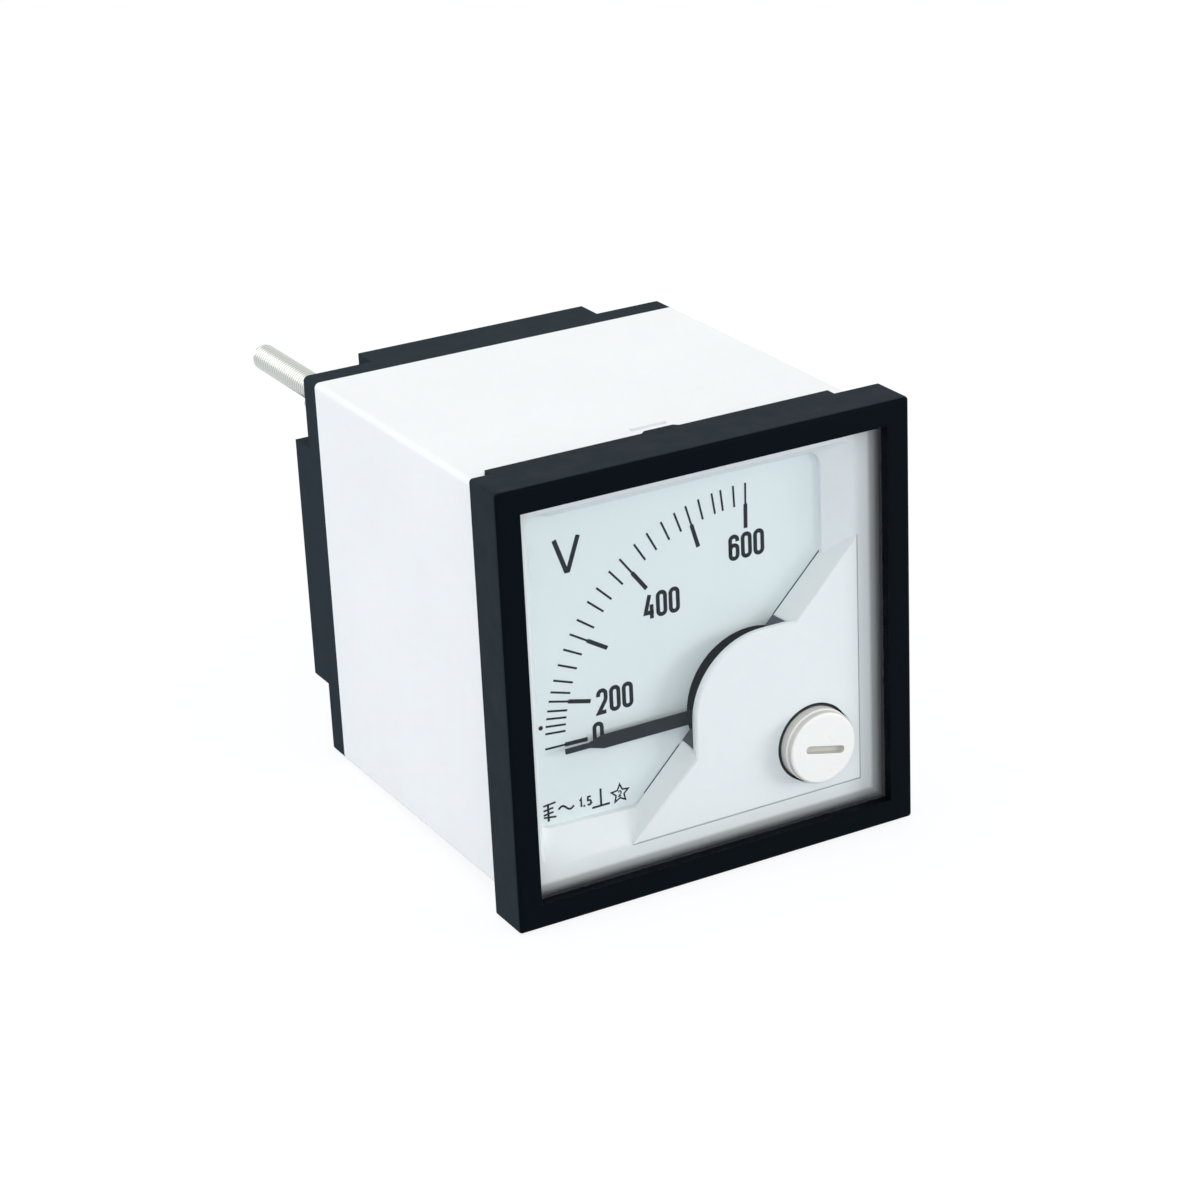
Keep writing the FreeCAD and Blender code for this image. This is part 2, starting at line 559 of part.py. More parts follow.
def front_bridge():
    """Sheet bridge on two feet that carries the front bearing."""
    y, arm, reach = depth("bridge_depth"), "bridge_arm", "(foot_pitch + foot_radius)"
    hub = rod("bridge_hub_disc", "bridge_hub", "bridge_thickness", "pivot_x", y, "pivot_z")
    right = block("bridge_arm_right", (reach, "bridge_thickness", arm), "pivot_x", y, f"pivot_z - {arm} / 2")
    down = block("bridge_arm_down", (arm, "bridge_thickness", reach), f"pivot_x - {arm} / 2", y,
                 f"pivot_z - {reach}")
    leg = f"{DRUM_FRONT} - bridge_depth"
    foot_right = rod("bridge_foot_right", "foot_radius", leg, "pivot_x + foot_pitch", y, "pivot_z")
    foot_down = rod("bridge_foot_down", "foot_radius", leg, "pivot_x", y, "pivot_z - foot_pitch")
    bore = rod("bridge_bore", "jewel_radius + jewel_fit", "2 * bridge_thickness", "pivot_x",
               f"{y} - bridge_thickness / 2", "pivot_z")
    body = fuse("bridge_body", hub, right, down, foot_right, foot_down)
    node(cut("front_bridge", body, bore), "front_bridge")


def jewels():
    """Bearing screws with a conical seat for the staff's tips."""
    start, end = depth("bridge_depth - jewel_rise"), depth("bridge_depth - jewel_rise + jewel_length")
    profile = [("0", start), ("jewel_radius", start), ("jewel_radius", end), ("jewel_bore", end),
               ("0", f"{end} - jewel_cone")]
    node(turned("front_jewel", profile, "pivot_x", "pivot_z"), "front_jewel")
    face = depth(f"{COIL_BACK} - rear_jewel_rise")
    profile = [("0", f"{face} + rear_jewel_length"), ("0", f"{face} + jewel_cone"), ("jewel_bore", face),
               ("rear_jewel_radius", face), ("rear_jewel_radius", f"{face} + rear_jewel_length")]
    node(turned("rear_jewel", profile, "pivot_x", "pivot_z"), "rear_jewel")


def staff():
    """Arbor with a conical pivot at each end."""
    front = f"{depth('bridge_depth - jewel_rise + jewel_length - jewel_cone')} + endshake"
    rear = f"{depth(f'{COIL_BACK} - rear_jewel_rise')} + jewel_cone - endshake"
    profile = [("0", front), ("tip_radius", front), ("staff_radius", f"{front} + staff_cone"),
               ("staff_radius", f"{rear} - staff_cone"), ("tip_radius", rear), ("0", rear)]
    node(turned("staff", profile, "pivot_x", "pivot_z"), "staff")


def pointer():
    """Flat pointer at rest on the zero mark, with a tail and a cross arm for the balance weights."""
    body = new_body("pointer", "pivot_x", "0", "pivot_z")
    y = depth("pointer_depth")
    half, tip, tail = "pointer_width / 2", "pointer_tip / 2", "tail_width / 2"
    blade = polygon(new_sketch(body, y),
                    [("-pointer_length", f"-{tip}"), ("-taper_end", f"-{tip}"), ("-taper_start", f"-{half}"),
                     ("0", f"-{half}"), ("0", half), ("-taper_start", half), ("-taper_end", tip),
                     ("-pointer_length", tip)])
    pad(body, blade, "pointer_thickness")
    pad(body, circle(new_sketch(body, y), "0", "0", "pointer_hub"), "pointer_thickness")
    pad(body, rectangle(new_sketch(body, y), "0", "tail_length", f"-{tail}", tail), "pointer_thickness")
    pad(body, rectangle(new_sketch(body, y), f"-{tail}", tail, "-tail_length", "0"), "pointer_thickness")
    pocket(body, circle(new_sketch(body, y), "0", "0", "staff_radius"), "pointer_thickness")
    node(body, "pointer")


def balance_weights():
    """Two sleeves pushed onto the pointer's short arms."""
    middle = depth("pointer_depth + pointer_thickness / 2")
    start = "(tail_length - weight_inset - weight_length)"
    right = new_body("balance_weight_tail", f"pivot_x + {start}", middle, "pivot_z")
    down = new_body("balance_weight_cross", "pivot_x", middle, f"pivot_z - {start} - weight_length")
    for body, role in ((right, "YZ_Plane"), (down, "XY_Plane")):
        sketch = circle(new_sketch(body, "0", role), "0", "0", "weight_radius")
        across, along = "tail_width", "pointer_thickness"
        if role == "YZ_Plane":
            across, along = along, across
        rectangle(sketch, f"-{across} / 2", f"{across} / 2", f"-{along} / 2", f"{along} / 2")
        sleeve = pad(body, sketch, "weight_length")
        sleeve.Reversed = False
    node(group("balance_weight_pair", right, down), "balance_weights")


def damping_vane():
    """Light sheet that swings inside the drum and brakes the pointer by the air it moves."""
    body = new_body("damping_vane", "pivot_x", "0", "pivot_z", "vane_angle")
    y = depth("vane_arm_depth")
    arm = rectangle(new_sketch(body, y), "-vane_outer", "0", "-vane_arm_width / 2", "vane_arm_width / 2")
    pad(body, arm, "vane_arm_thickness")
    pad(body, circle(new_sketch(body, y), "0", "0", "collet_radius"), "collet_length")
    sheet_edge = rectangle(new_sketch(body, y), "-vane_outer", "-vane_inner",
                           "-vane_sheet / 2", "vane_sheet / 2")
    pad(body, sheet_edge, "vane_height")
    pocket(body, circle(new_sketch(body, y), "0", "0", "staff_radius"), "collet_length")
    node(body, "damping_vane")


def hairspring():
    """Flat spring from the staff's collet to the lever's stud, as half rings of growing radius."""
    strip, width, top = value("spring_strip"), value("spring_width"), value(depth("spring_depth"))
    inner, outer = value("collet_radius"), value("stud_arm_length - 2 * stud_radius - spring_strip")
    halves = 2 * int(value("spring_turns"))
    growth = (outer - inner) / halves
    turns = []
    for half in range(halves):
        radius, even = inner + half * growth, half % 2 == 0
        ring = Part.makeCylinder(radius + strip, width, V(0, 0, 0), V(0, 0, 1), 180)
        ring = ring.cut(Part.makeCylinder(radius, width))
        turn = FreeCAD.Rotation(AXIS_BACK, 180 if even else 0)
        ring.Placement = FreeCAD.Placement(V(0 if even else -growth, top, 0), turn * TURN_TO_BACK)
        turns.append(ring)
    coil = turns[0].multiFuse(turns[1:]).removeSplitter()
    thing = doc.addObject("Part::Feature", "hairspring_strip")
    thing.Shape = coil
    thing.Placement = FreeCAD.Placement(V(value("pivot_x"), 0, value("pivot_z")),
                                        FreeCAD.Rotation(AXIS_BACK, 45))
    node(thing, "hairspring")


def zero_lever():
    """Lever on the drum's boss: its fork follows the crank pin, its stud holds the spring's end."""
    body = new_body("zero_lever", "pivot_x", "0", "pivot_z", "45")
    y = depth("lever_depth")
    ring = "(boss_radius + lever_play + lever_ring)"
    centre = "((adjuster_x - pivot_x) / sqrt(0.5) - crank_offset)"
    slot_half, reach = "(crank_radius + fork_play)", f"({centre} + crank_radius + fork_overrun)"
    pad(body, circle(new_sketch(body, y), "0", "0", ring), "lever_thickness")
    arm_half = f"({slot_half} + fork_wall)"
    pad(body, rectangle(new_sketch(body, y), "0", reach, f"-{arm_half}", arm_half), "lever_thickness")
    pad(body, rectangle(new_sketch(body, y), "-stud_arm_length", "0", "-stud_radius", "stud_radius"),
        "lever_thickness")
    stud = circle(new_sketch(body, depth("spring_depth")), "stud_radius - stud_arm_length", "0",
                  "stud_radius")
    pad(body, stud, "lever_depth - spring_depth + lever_thickness / 2")
    bottom = f"({centre} - crank_radius - fork_overrun)"
    pocket(body, rectangle(new_sketch(body, y), bottom, f"{reach} + fork_wall", f"-{slot_half}", slot_half),
           "lever_thickness")
    pocket(body, circle(new_sketch(body, y), "0", "0", "boss_radius + lever_play"), "lever_thickness")
    node(body, "zero_lever")


def coil():
    """Bobbin clamped between the drum and the rear bridge, with its copper winding."""
    front, back = depth(DRUM_BACK), depth(COIL_BACK)
    wall, inner = "(coil_bore + bobbin_wall)", "flange_thickness"
    profile = [("coil_bore", front), ("flange_radius", front), ("flange_radius", f"{front} + {inner}"),
               (wall, f"{front} + {inner}"), (wall, f"{back} - {inner}"),
               ("flange_radius", f"{back} - {inner}"),
               ("flange_radius", back), ("coil_bore", back)]
    node(turned("coil_bobbin", profile, "pivot_x", "pivot_z"), "coil_bobbin")
    outer = "flange_radius - winding_inset"
    profile = [(wall, f"{front} + {inner}"), (outer, f"{front} + {inner}"), (outer, f"{back} - {inner}"),
               (wall, f"{back} - {inner}")]
    node(turned("coil_winding", profile, "pivot_x", "pivot_z"), "coil_winding")


def irons():
    """Curved iron sheets in the coil: one fixed in the bobbin's bore, one on the staff."""
    y = depth(f"{DRUM_BACK} + (coil_length - fixed_iron_length) / 2")
    outer = "coil_bore - iron_play"
    start = value("fixed_iron_angle")
    shell = rod("fixed_iron_outer", outer, "fixed_iron_length", "pivot_x", y, "pivot_z",
                "fixed_iron_span", start)
    core = rod("fixed_iron_inner", f"{outer} - iron_sheet", "fixed_iron_length", "pivot_x", y, "pivot_z")
    node(cut("fixed_iron", shell, core), "fixed_iron")

    y = depth(f"{DRUM_BACK} + (coil_length - moving_iron_length) / 2")
    radius, start = "moving_iron_radius", value("moving_iron_angle")
    length = "moving_iron_length"
    shell = rod("moving_iron_outer", radius, length, "pivot_x", y, "pivot_z", "moving_iron_span", start)
    core = rod("moving_iron_inner", f"{radius} - iron_sheet", length, "pivot_x", y, "pivot_z")
    web = block("moving_iron_web", (f"{radius} - iron_sheet / 2", length, "web_thickness"),
                "pivot_x", y, "pivot_z")
    web.Placement.Rotation = FreeCAD.Rotation(AXIS_BACK, start)
    hub = rod("moving_iron_hub", "hub_radius", length, "pivot_x", y, "pivot_z")
    bore = rod("moving_iron_bore", "staff_radius", length, "pivot_x", y, "pivot_z")
    body = fuse("moving_iron_body", cut("moving_iron_sheet", shell, core), web, hub)
    node(cut("moving_iron", body, bore), "moving_iron")


def rear_bridge():
    """Brass strap across the pillars that holds the coil and the rear bearing."""
    body = new_body("rear_bridge", "pivot_x", "0", "pivot_z", "45")
    y, reach = depth(COIL_BACK), "(pillar_pitch / 2 + pillar_radius)"
    strap = rectangle(new_sketch(body, y), f"-{reach}", reach,
                      "-rear_bridge_width / 2", "rear_bridge_width / 2")
    pad(body, strap, "rear_bridge_thickness")
    pocket(body, circle(new_sketch(body, y), "0", "0", "rear_jewel_radius + jewel_fit"),
           "rear_bridge_thickness")
    for side in TWO_SIDES:
        pocket(body, circle(new_sketch(body, y), f"{side} * pillar_pitch / 2", "0",
                            "bridge_screw_radius + screw_fit"),
               "rear_bridge_thickness")
    node(body, "rear_bridge")


def bridge_screws():
    """The two screws that hold the rear bridge on its pillars."""
    seat = depth(f"{COIL_BACK} + rear_bridge_thickness")
    screws = []
    for number, side in enumerate(TWO_SIDES, start=1):
        x = f"pivot_x + {side} * pillar_pitch / 2 * sqrt(0.5)"
        z = f"pivot_z - {side} * pillar_pitch / 2 * sqrt(0.5)"
        screws.append(screw(f"bridge_screw_{number}", x, z, "bridge_head_radius", "bridge_head_height",
                            "bridge_screw_radius", "bridge_screw_length", seat, backwards=False))
    node(group("bridge_screw_pair", *screws), "bridge_screws")


def case():
    """White square tube: ledge for the movement, seats for the skirts, bosses for the studs."""
    body = new_body("case")
    tube = pad(body, square(new_sketch(body, depth("case_front_depth")), "case_side"),
               "case_back_depth - case_front_depth")
    dress(body, "Fillet", tube, edges_where(tube, along_y), "Radius", "case_round")
    pocket(body, square(new_sketch(body, depth("case_front_depth")), CASE_INSIDE),
           f"{FRAME_BACK} - case_front_depth")
    pocket(body, square(new_sketch(body, depth(FRAME_BACK)), f"{CASE_INSIDE} - 2 * ledge_width"),
           f"case_back_depth - {FRAME_BACK}")
    edge, near = f"({CASE_INSIDE} / 2 - ledge_width / 2)", f"({CASE_INSIDE} / 2 - boss_side)"
    for side in TWO_SIDES:
        boss = new_sketch(body, depth(BOSS_FRONT))
        if side < 0:
            rectangle(boss, f"-{edge}", f"-{near}", near, edge)
        else:
            rectangle(boss, near, edge, f"-{edge}", f"-{near}")
        pad(body, boss, f"case_back_depth - {BOSS_FRONT}")
    for side in TWO_SIDES:
        hole = circle(new_sketch(body, depth(f"{BOSS_FRONT} + stud_floor")), f"{side} * stud_offset",
                      f"-({side}) * stud_offset", "shank_radius")
        pocket(body, hole, f"case_back_depth - {BOSS_FRONT} - stud_floor")
    seat_floor, outside = f"({SKIRT_INSIDE} - skirt_play)", "(case_side / 2 + skirt_play)"
    seat_half = "(skirt_width / 2 + catch_play)"
    seat = new_sketch(body, depth("case_front_depth"))
    rectangle(seat, f"-{seat_half}", seat_half, seat_floor, outside)
    seat = pocket(body, seat, f"{SKIRT_END} + catch_play - case_front_depth")
    tongue_half = "(tongue_width / 2 + catch_play)"
    lead = new_sketch(body, depth(SKIRT_END))
    rectangle(lead, f"-{tongue_half}", tongue_half, seat_floor, outside)
    lead = pocket(body, lead, "tongue_reach + catch_play")
    catch_half = "(catch_width / 2 + catch_play)"
    hold = new_sketch(body, depth(f"{SKIRT_END} + tongue_reach - catch_length - catch_play"))
    rectangle(hold, f"-{catch_half}", catch_half, f"{seat_floor} - catch_height - catch_play", outside)
    hold = pocket(body, hold, "catch_length + 2 * catch_play")
    nick = new_sketch(body, depth(f"{SKIRT_END} + tongue_reach + slot_gap"))
    rectangle(nick, "-slot_width / 2", "slot_width / 2", "case_side / 2 - slot_cut", outside)
    nick = pocket(body, nick, "slot_length")
    mirror = body.newObject("PartDesign::Mirrored", "Lower_seat")
    mirror.Originals = [seat, lead, hold, nick]
    mirror.MirrorPlane = (plane(body, "XY_Plane"), [""])
    body.Tip = mirror
    node(body, "case")


def rear_cover():
    """Black cover flush with the case: raised cross with a well for each terminal."""
    body = new_body("rear_cover")
    cover = pad(body, square(new_sketch(body, depth("case_back_depth")), "case_side"), "cover_thickness")
    cover = dress(body, "Fillet", cover, edges_where(cover, along_y), "Radius", "case_round")
    arm, outer = "(case_side / 2 - notch_side)", "(case_side / 2)"
    cross = new_sketch(body, depth(COVER_BACK))
    polygon(cross, [(f"-{arm}", f"-{outer}"), (arm, f"-{outer}"), (arm, f"-{arm}"), (outer, f"-{arm}"),
                    (outer, arm), (arm, arm), (arm, outer), (f"-{arm}", outer), (f"-{arm}", arm),
                    (f"-{outer}", arm), (f"-{outer}", f"-{arm}"), (f"-{arm}", f"-{arm}")])
    cross = pad(body, cross, "block_height")
    back = value(depth(BLOCK_BACK))
    dress(body, "Fillet", cross, edges_where(cross, lambda e: e.BoundBox.YMin > back - TOUCH),
          "Radius", "cover_round")
    for side in TWO_SIDES:
        well = new_sketch(body, depth(WELL_FLOOR))
        middle = f"{side} * terminal_pitch / 2"
        rectangle(well, f"{middle} - well_side / 2", f"{middle} + well_side / 2",
                  "-well_side / 2", "well_side / 2")
        pocket(body, well, "well_cut")
        pocket(body, circle(new_sketch(body, depth("case_back_depth")), middle, "0", "bushing_radius"),
               f"{WELL_FLOOR} - case_back_depth")
        pocket(body, circle(new_sketch(body, depth("case_back_depth")), f"{side} * stud_offset",
                            f"-({side}) * stud_offset", "shank_radius + screw_fit"), "cover_thickness")
    node(body, "rear_cover")


def fixing_studs():
    """Two threaded studs from the case's bosses, for the brackets that clamp the meter to its panel."""
    start, end = depth(f"{BOSS_FRONT} + stud_floor"), depth("stud_end_depth")
    free = depth(f"{COVER_BACK} + washer_thickness + nut_height")
    profile = [("0", start), ("shank_radius", start), ("shank_radius", free), ("thread_radius", free),
               ("thread_radius", f"{end} - stud_chamfer"),
               ("thread_radius - stud_chamfer", end), ("0", end)]
    studs = [turned(f"fixing_stud_{n}", profile, f"{side} * stud_offset", f"-({side}) * stud_offset")
             for n, side in enumerate(TWO_SIDES, start=1)]
    node(group("fixing_stud_pair", *studs), "fixing_studs")


def stud_nuts():
    """Washers and hexagon nuts that hold the rear cover on the studs."""
    washers, nuts = [], []
    y = depth(COVER_BACK)
    corner = "(nut_across_flats / 2 / cos(30))"
    for number, side in enumerate(TWO_SIDES, start=1):
        x, z = f"{side} * stud_offset", f"-({side}) * stud_offset"
        washer = new_body(f"stud_washer_{number}", x, "0", z)
        ring = circle(new_sketch(washer, y), "0", "0", "washer_radius")
        pad(washer, circle(ring, "0", "0", "shank_radius + screw_fit"), "washer_thickness")
        washers.append(washer)
        nut = new_body(f"stud_nut_{number}", x, "0", z)
        hexagon = [(f"{corner} * cos({60 * k})", f"{corner} * sin({60 * k})") for k in range(6)]
        outline = polygon(new_sketch(nut, f"{y} + washer_thickness"), hexagon)
        pad(nut, circle(outline, "0", "0", "shank_radius + screw_fit"), "nut_height")
        nuts.append(nut)
    node(group("stud_washer_pair", *washers), "stud_washers")
    node(group("stud_nut_pair", *nuts), "stud_nuts")


def terminals():
    """Brass bushings through the cover, square clamps and slotted screws."""
    bushings, clamps, screws = [], [], []
    inner, floor = depth(BOARD_FRONT), depth(WELL_FLOOR)
    for number, side in enumerate(TWO_SIDES, start=1):
        x = f"{side} * terminal_pitch / 2"
        profile = [("terminal_thread", inner), ("bushing_radius - bushing_rim", inner),
                   ("bushing_radius - bushing_rim", f"{depth('case_back_depth')} - bushing_rim * 2"),
                   ("bushing_flange", f"{depth('case_back_depth')} - bushing_rim * 2"),
                   ("bushing_flange", depth("case_back_depth")), ("bushing_radius", depth("case_back_depth")),
                   ("bushing_radius", floor), ("terminal_thread", floor)]
        bushings.append(turned(f"terminal_bushing_{number}", profile, x, "0"))
        clamp = new_body(f"terminal_clamp_{number}", x, "0", "0")
        plate = square(new_sketch(clamp, floor), "clamp_side")
        pad(clamp, circle(plate, "0", "0", "terminal_thread + screw_fit"), "clamp_thickness")
        clamps.append(clamp)
        seat = f"{floor} + clamp_thickness"
        head = screw(f"terminal_screw_{number}", x, "0", "terminal_head_radius", "terminal_head_height",
                     "terminal_thread", "terminal_length", seat, backwards=False)
        slot = new_sketch(head, f"{seat} + terminal_head_height - drive_cut")
        rectangle(slot, "-terminal_head_radius", "terminal_head_radius",
                  "-drive_width / 2", "drive_width / 2")
        pocket(head, slot, "drive_cut")
        screws.append(head)
    node(group("terminal_bushing_pair", *bushings), "terminal_bushings")
    node(group("terminal_clamp_pair", *clamps), "terminal_clamps")
    node(group("terminal_screw_pair", *screws), "terminal_screws")


def series_resistors():
    """Two resistors that drop the line voltage, on a board carried by the terminal bushings."""
    board_y, half = depth(BOARD_FRONT), f"({CASE_INSIDE} / 2 - ledge_width - board_play)"
    body = new_body("resistor_board", "0", board_y, "0")
    outline = rectangle(new_sketch(body, "0"), f"-{half}", half, "-board_width / 2", "board_width / 2")
    for side in TWO_SIDES:
        circle(outline, f"{side} * terminal_pitch / 2", "0", "bushing_radius - bushing_rim")
    pad(body, outline, "board_thickness")
    node(body, "resistor_board")
    middle = f"{board_y} - resistor_leg - resistor_radius"
    resistors = []
    for number, side in enumerate(TWO_SIDES, start=1):
        z = f"{side} * resistor_pitch / 2"
        resistor = new_body(f"resistor_{number}", "resistor_x", middle, z)
        barrel = circle(new_sketch(resistor, "-resistor_length / 2", "YZ_Plane"), "0", "0", "resistor_radius")
        barrel = pad(resistor, barrel, "resistor_length")
        barrel.Reversed = False
        for end in TWO_SIDES:
            x = f"{end} * (resistor_length / 2 - 2 * resistor_lead)"
            pad(resistor, circle(new_sketch(resistor, "0"), x, "0", "resistor_lead"),
                "resistor_leg + resistor_radius")
        resistors.append(resistor)
    node(group("resistor_pair", *resistors), "series_resistors")


def coil_leads():
    """Two insulated wires from the coil's rear flange straight back to the resistor board."""
    places = (("pivot_x + lead_right", "pivot_z + lead_above"),
              ("pivot_x - lead_left", "pivot_z - lead_below"))
    leads = [rod(f"coil_lead_{number}", "wire_radius", f"{BOARD_FRONT} - {COIL_BACK}", x, depth(COIL_BACK), z)
             for number, (x, z) in enumerate(places, start=1)]
    node(group("coil_lead_pair", *leads), "coil_leads")


for build in (bezel, window_pane, dial_mask, zero_adjuster, dial_plate, dial_screws, movement_frame,
              front_bridge,
              jewels, staff, pointer, balance_weights, damping_vane, hairspring, zero_lever, coil, irons,
              rear_bridge, bridge_screws, case, rear_cover, fixing_studs, stud_nuts, terminals,
              series_resistors, coil_leads):
    build()
doc.recompute()

# Every object has to be sound before anything is written
faults = [f"{thing.Name}: {thing.State}" for thing in doc.Objects
          if "Invalid" in thing.State or "Error" in thing.State]
for thing in nodes:
    if thing.Shape.isNull() or not thing.Shape.isValid() or not thing.Shape.Solids:
        faults.append(f"{thing.Label}: bad shape")
if faults:
    raise RuntimeError("; ".join(faults))

os.makedirs("parts", exist_ok=True)
for thing in nodes:
    thing.Shape.exportStep(f"parts/{thing.Label}.step")
    print(thing.Label, len(thing.Shape.Solids), round(thing.Shape.Volume, 2))
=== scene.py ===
import math

import bmesh
import bpy
from mathutils import Matrix, Vector


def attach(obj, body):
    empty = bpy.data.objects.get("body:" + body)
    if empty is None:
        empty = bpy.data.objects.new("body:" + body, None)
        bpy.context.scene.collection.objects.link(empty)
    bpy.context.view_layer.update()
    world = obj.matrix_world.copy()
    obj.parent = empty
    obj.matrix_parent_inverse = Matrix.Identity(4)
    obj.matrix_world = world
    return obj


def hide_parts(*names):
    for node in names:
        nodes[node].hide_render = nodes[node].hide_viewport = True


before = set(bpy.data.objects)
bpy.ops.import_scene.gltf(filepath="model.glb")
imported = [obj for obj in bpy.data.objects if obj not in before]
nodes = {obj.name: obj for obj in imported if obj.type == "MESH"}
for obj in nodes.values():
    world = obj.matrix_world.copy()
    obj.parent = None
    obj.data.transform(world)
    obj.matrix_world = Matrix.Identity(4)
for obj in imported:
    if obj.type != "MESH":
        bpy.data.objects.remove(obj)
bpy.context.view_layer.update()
scene = bpy.context.scene
scene.view_settings.view_transform = "Standard"

# Shapes are drawn in millimetres and become metres where their mesh is made.
# X is to the right seen from the front, Y runs backwards from the panel's front, Z is up.

MM = 0.001
MERGE = 1e-4


# Finishes

COLOUR_NOISE = 3.1
POLISH_NOISE = 7.7
GRAIN_NOISE = 1.3
SMUDGE_NOISE = 5.0


def srgb(red, green, blue):
    """Display bytes as the linear colour that a shader takes."""
    def linear(byte):
        part = byte / 255
        return part / 12.92 if part <= 0.04045 else ((part + 0.055) / 1.055) ** 2.4
    return (linear(red), linear(green), linear(blue), 1.0)


def scaled(colour, factor):
    """A colour with each of its parts times a factor."""
    return tuple(min(1.0, part * factor) for part in colour[:3]) + (1.0,)


def feed(target, source):
    """Joins another node's output to a socket, or sets the socket to a fixed value."""
    if isinstance(source, bpy.types.NodeSocket):
        target.id_data.links.new(source, target)
    else:
        target.default_value = source


def add_node(tree, kind, inputs=None, **settings):
    """A new node with its settings and what each of its inputs takes."""
    made = tree.nodes.new(kind)
    for name, choice in settings.items():
        setattr(made, name, choice)
    for key, source in (inputs or {}).items():
        feed(made.inputs[key], source)
    return made


class Finish:
    """A procedural finish on one Principled shader, fed by noise in the piece's own coordinates."""

    def __init__(self, name, colour, roughness, metallic=0.0, specular=0.5, **sockets):
        self.material = bpy.data.materials.new(name)
        self.material.use_nodes = True
        self.tree = self.material.node_tree
        self.shader = self.tree.nodes["Principled BSDF"]
        self.colour = colour
        feed(self.shader.inputs["Base Color"], colour)
        feed(self.shader.inputs["Roughness"], roughness)
        feed(self.shader.inputs["Metallic"], metallic)
        feed(self.shader.inputs["Specular IOR Level"], specular)
        for socket, number in sockets.items():
            feed(self.shader.inputs[socket.replace("_", " ")], number)
        self.place = self.add("ShaderNodeTexCoord").outputs["Object"]

    def add(self, kind, inputs=None, **settings):
        """A new node in this finish."""
        return add_node(self.tree, kind, inputs, **settings)

    def show(self, shader_output):
        """Makes a shader the one that the surface has."""
        feed(self.tree.nodes["Material Output"].inputs["Surface"], shader_output)

    def noise(self, per_mm, offset, detail=3.0, stretch=(1, 1, 1)):
        """Noise of about so many lumps to the millimetre, drawn out along the axes with a low stretch.

        Each layer of a finish has its own offset into the noise.
        """
        mapping = self.add("ShaderNodeMapping", {
            "Vector": self.place,
            "Scale": tuple(per_mm / MM * part for part in stretch),
            "Location": (offset, offset, offset),
        })
        noise = self.add("ShaderNodeTexNoise", {
            "Vector": mapping.outputs["Vector"], "Scale": 1.0, "Detail": detail,
        })
        return noise.outputs["Fac"]

    def spread(self, factor, low, high, start=0.3, end=0.7):
        """A factor's middle range, spread from low to high."""
        spread = self.add("ShaderNodeMapRange", {
            "Value": factor, "From Min": start, "From Max": end, "To Min": low, "To Max": high,
        })
        return spread.outputs["Result"]

    def blend(self, factor, first, second, kind="MIX"):
        """The surface colour as a blend of two, each a fixed colour or a node's output."""
        mix = self.add("ShaderNodeMix", {"Factor": factor}, data_type="RGBA", blend_type=kind)
        colours = [socket for socket in mix.inputs if socket.type == "RGBA"]
        feed(colours[0], first)
        feed(colours[1], second)
        result = next(socket for socket in mix.outputs if socket.type == "RGBA")
        feed(self.shader.inputs["Base Color"], result)

    def mottle(self, per_mm, amount, stretch=(1, 1, 1)):
        """Colour that varies a little, darker and lighter than the plain one."""
        lumps = self.noise(per_mm, COLOUR_NOISE, stretch=stretch)
        self.blend(self.spread(lumps, 0, 1), scaled(self.colour, 1 - amount), scaled(self.colour, 1 + amount))

    def painted_shade_by_reach(self, painted_shade_stops):
        """Painted shade: colour times a share that falls with the reach to the right or downwards.

        Each stop is (reach in millimetres, share).
        """
        apart = self.add("ShaderNodeSeparateXYZ", {"Vector": self.place})
        down = self.add("ShaderNodeMath", {0: apart.outputs["Z"], 1: -1.0}, operation="MULTIPLY")
        reach = self.add("ShaderNodeMath", {0: apart.outputs["X"], 1: down.outputs["Value"]},
                         operation="MAXIMUM")
        first, last = painted_shade_stops[0][0], painted_shade_stops[-1][0]
        along = self.spread(reach.outputs["Value"], 0, 1, first * MM, last * MM)
        ramp = self.add("ShaderNodeValToRGB", {"Fac": along})
        elements = ramp.color_ramp.elements
        while len(elements) < len(painted_shade_stops):
            elements.new(0.5)
        for element, (place, share) in zip(elements, painted_shade_stops):
            element.position = (place - first) / (last - first)
            element.color = (share, share, share, 1.0)
        plain = self.shader.inputs["Base Color"].links[0].from_socket
        self.blend(1.0, plain, ramp.outputs["Color"], "MULTIPLY")

    def uneven(self, per_mm, low, high, stretch=(1, 1, 1)):
        """Roughness that varies from low to high."""
        lumps = self.noise(per_mm, POLISH_NOISE, stretch=stretch)
        feed(self.shader.inputs["Roughness"], self.spread(lumps, low, high))

    def relief(self, height, depth):
        """A bump of so many millimetres."""
        bump = self.add("ShaderNodeBump", {"Height": height, "Distance": depth * MM})
        feed(self.shader.inputs["Normal"], bump.outputs["Normal"])

    def grain(self, per_mm, depth, detail=4.0, stretch=(1, 1, 1)):
        """Fine bumps of about so many to the millimetre."""
        self.relief(self.noise(per_mm, GRAIN_NOISE, detail, stretch), depth)

    def windings(self, axis, pitch, depth, shade):
        """Round ridges across an axis, as of wire laid side by side, with painted shade between them."""
        wave = self.add("ShaderNodeTexWave", {
            "Vector": self.place, "Scale": math.pi / 10 / (pitch * MM), "Distortion": 0.25,
        }, bands_direction=axis, wave_profile="SIN")
        self.blend(wave.outputs["Fac"], scaled(self.colour, 1 - shade), self.colour)
        self.relief(wave.outputs["Fac"], depth)


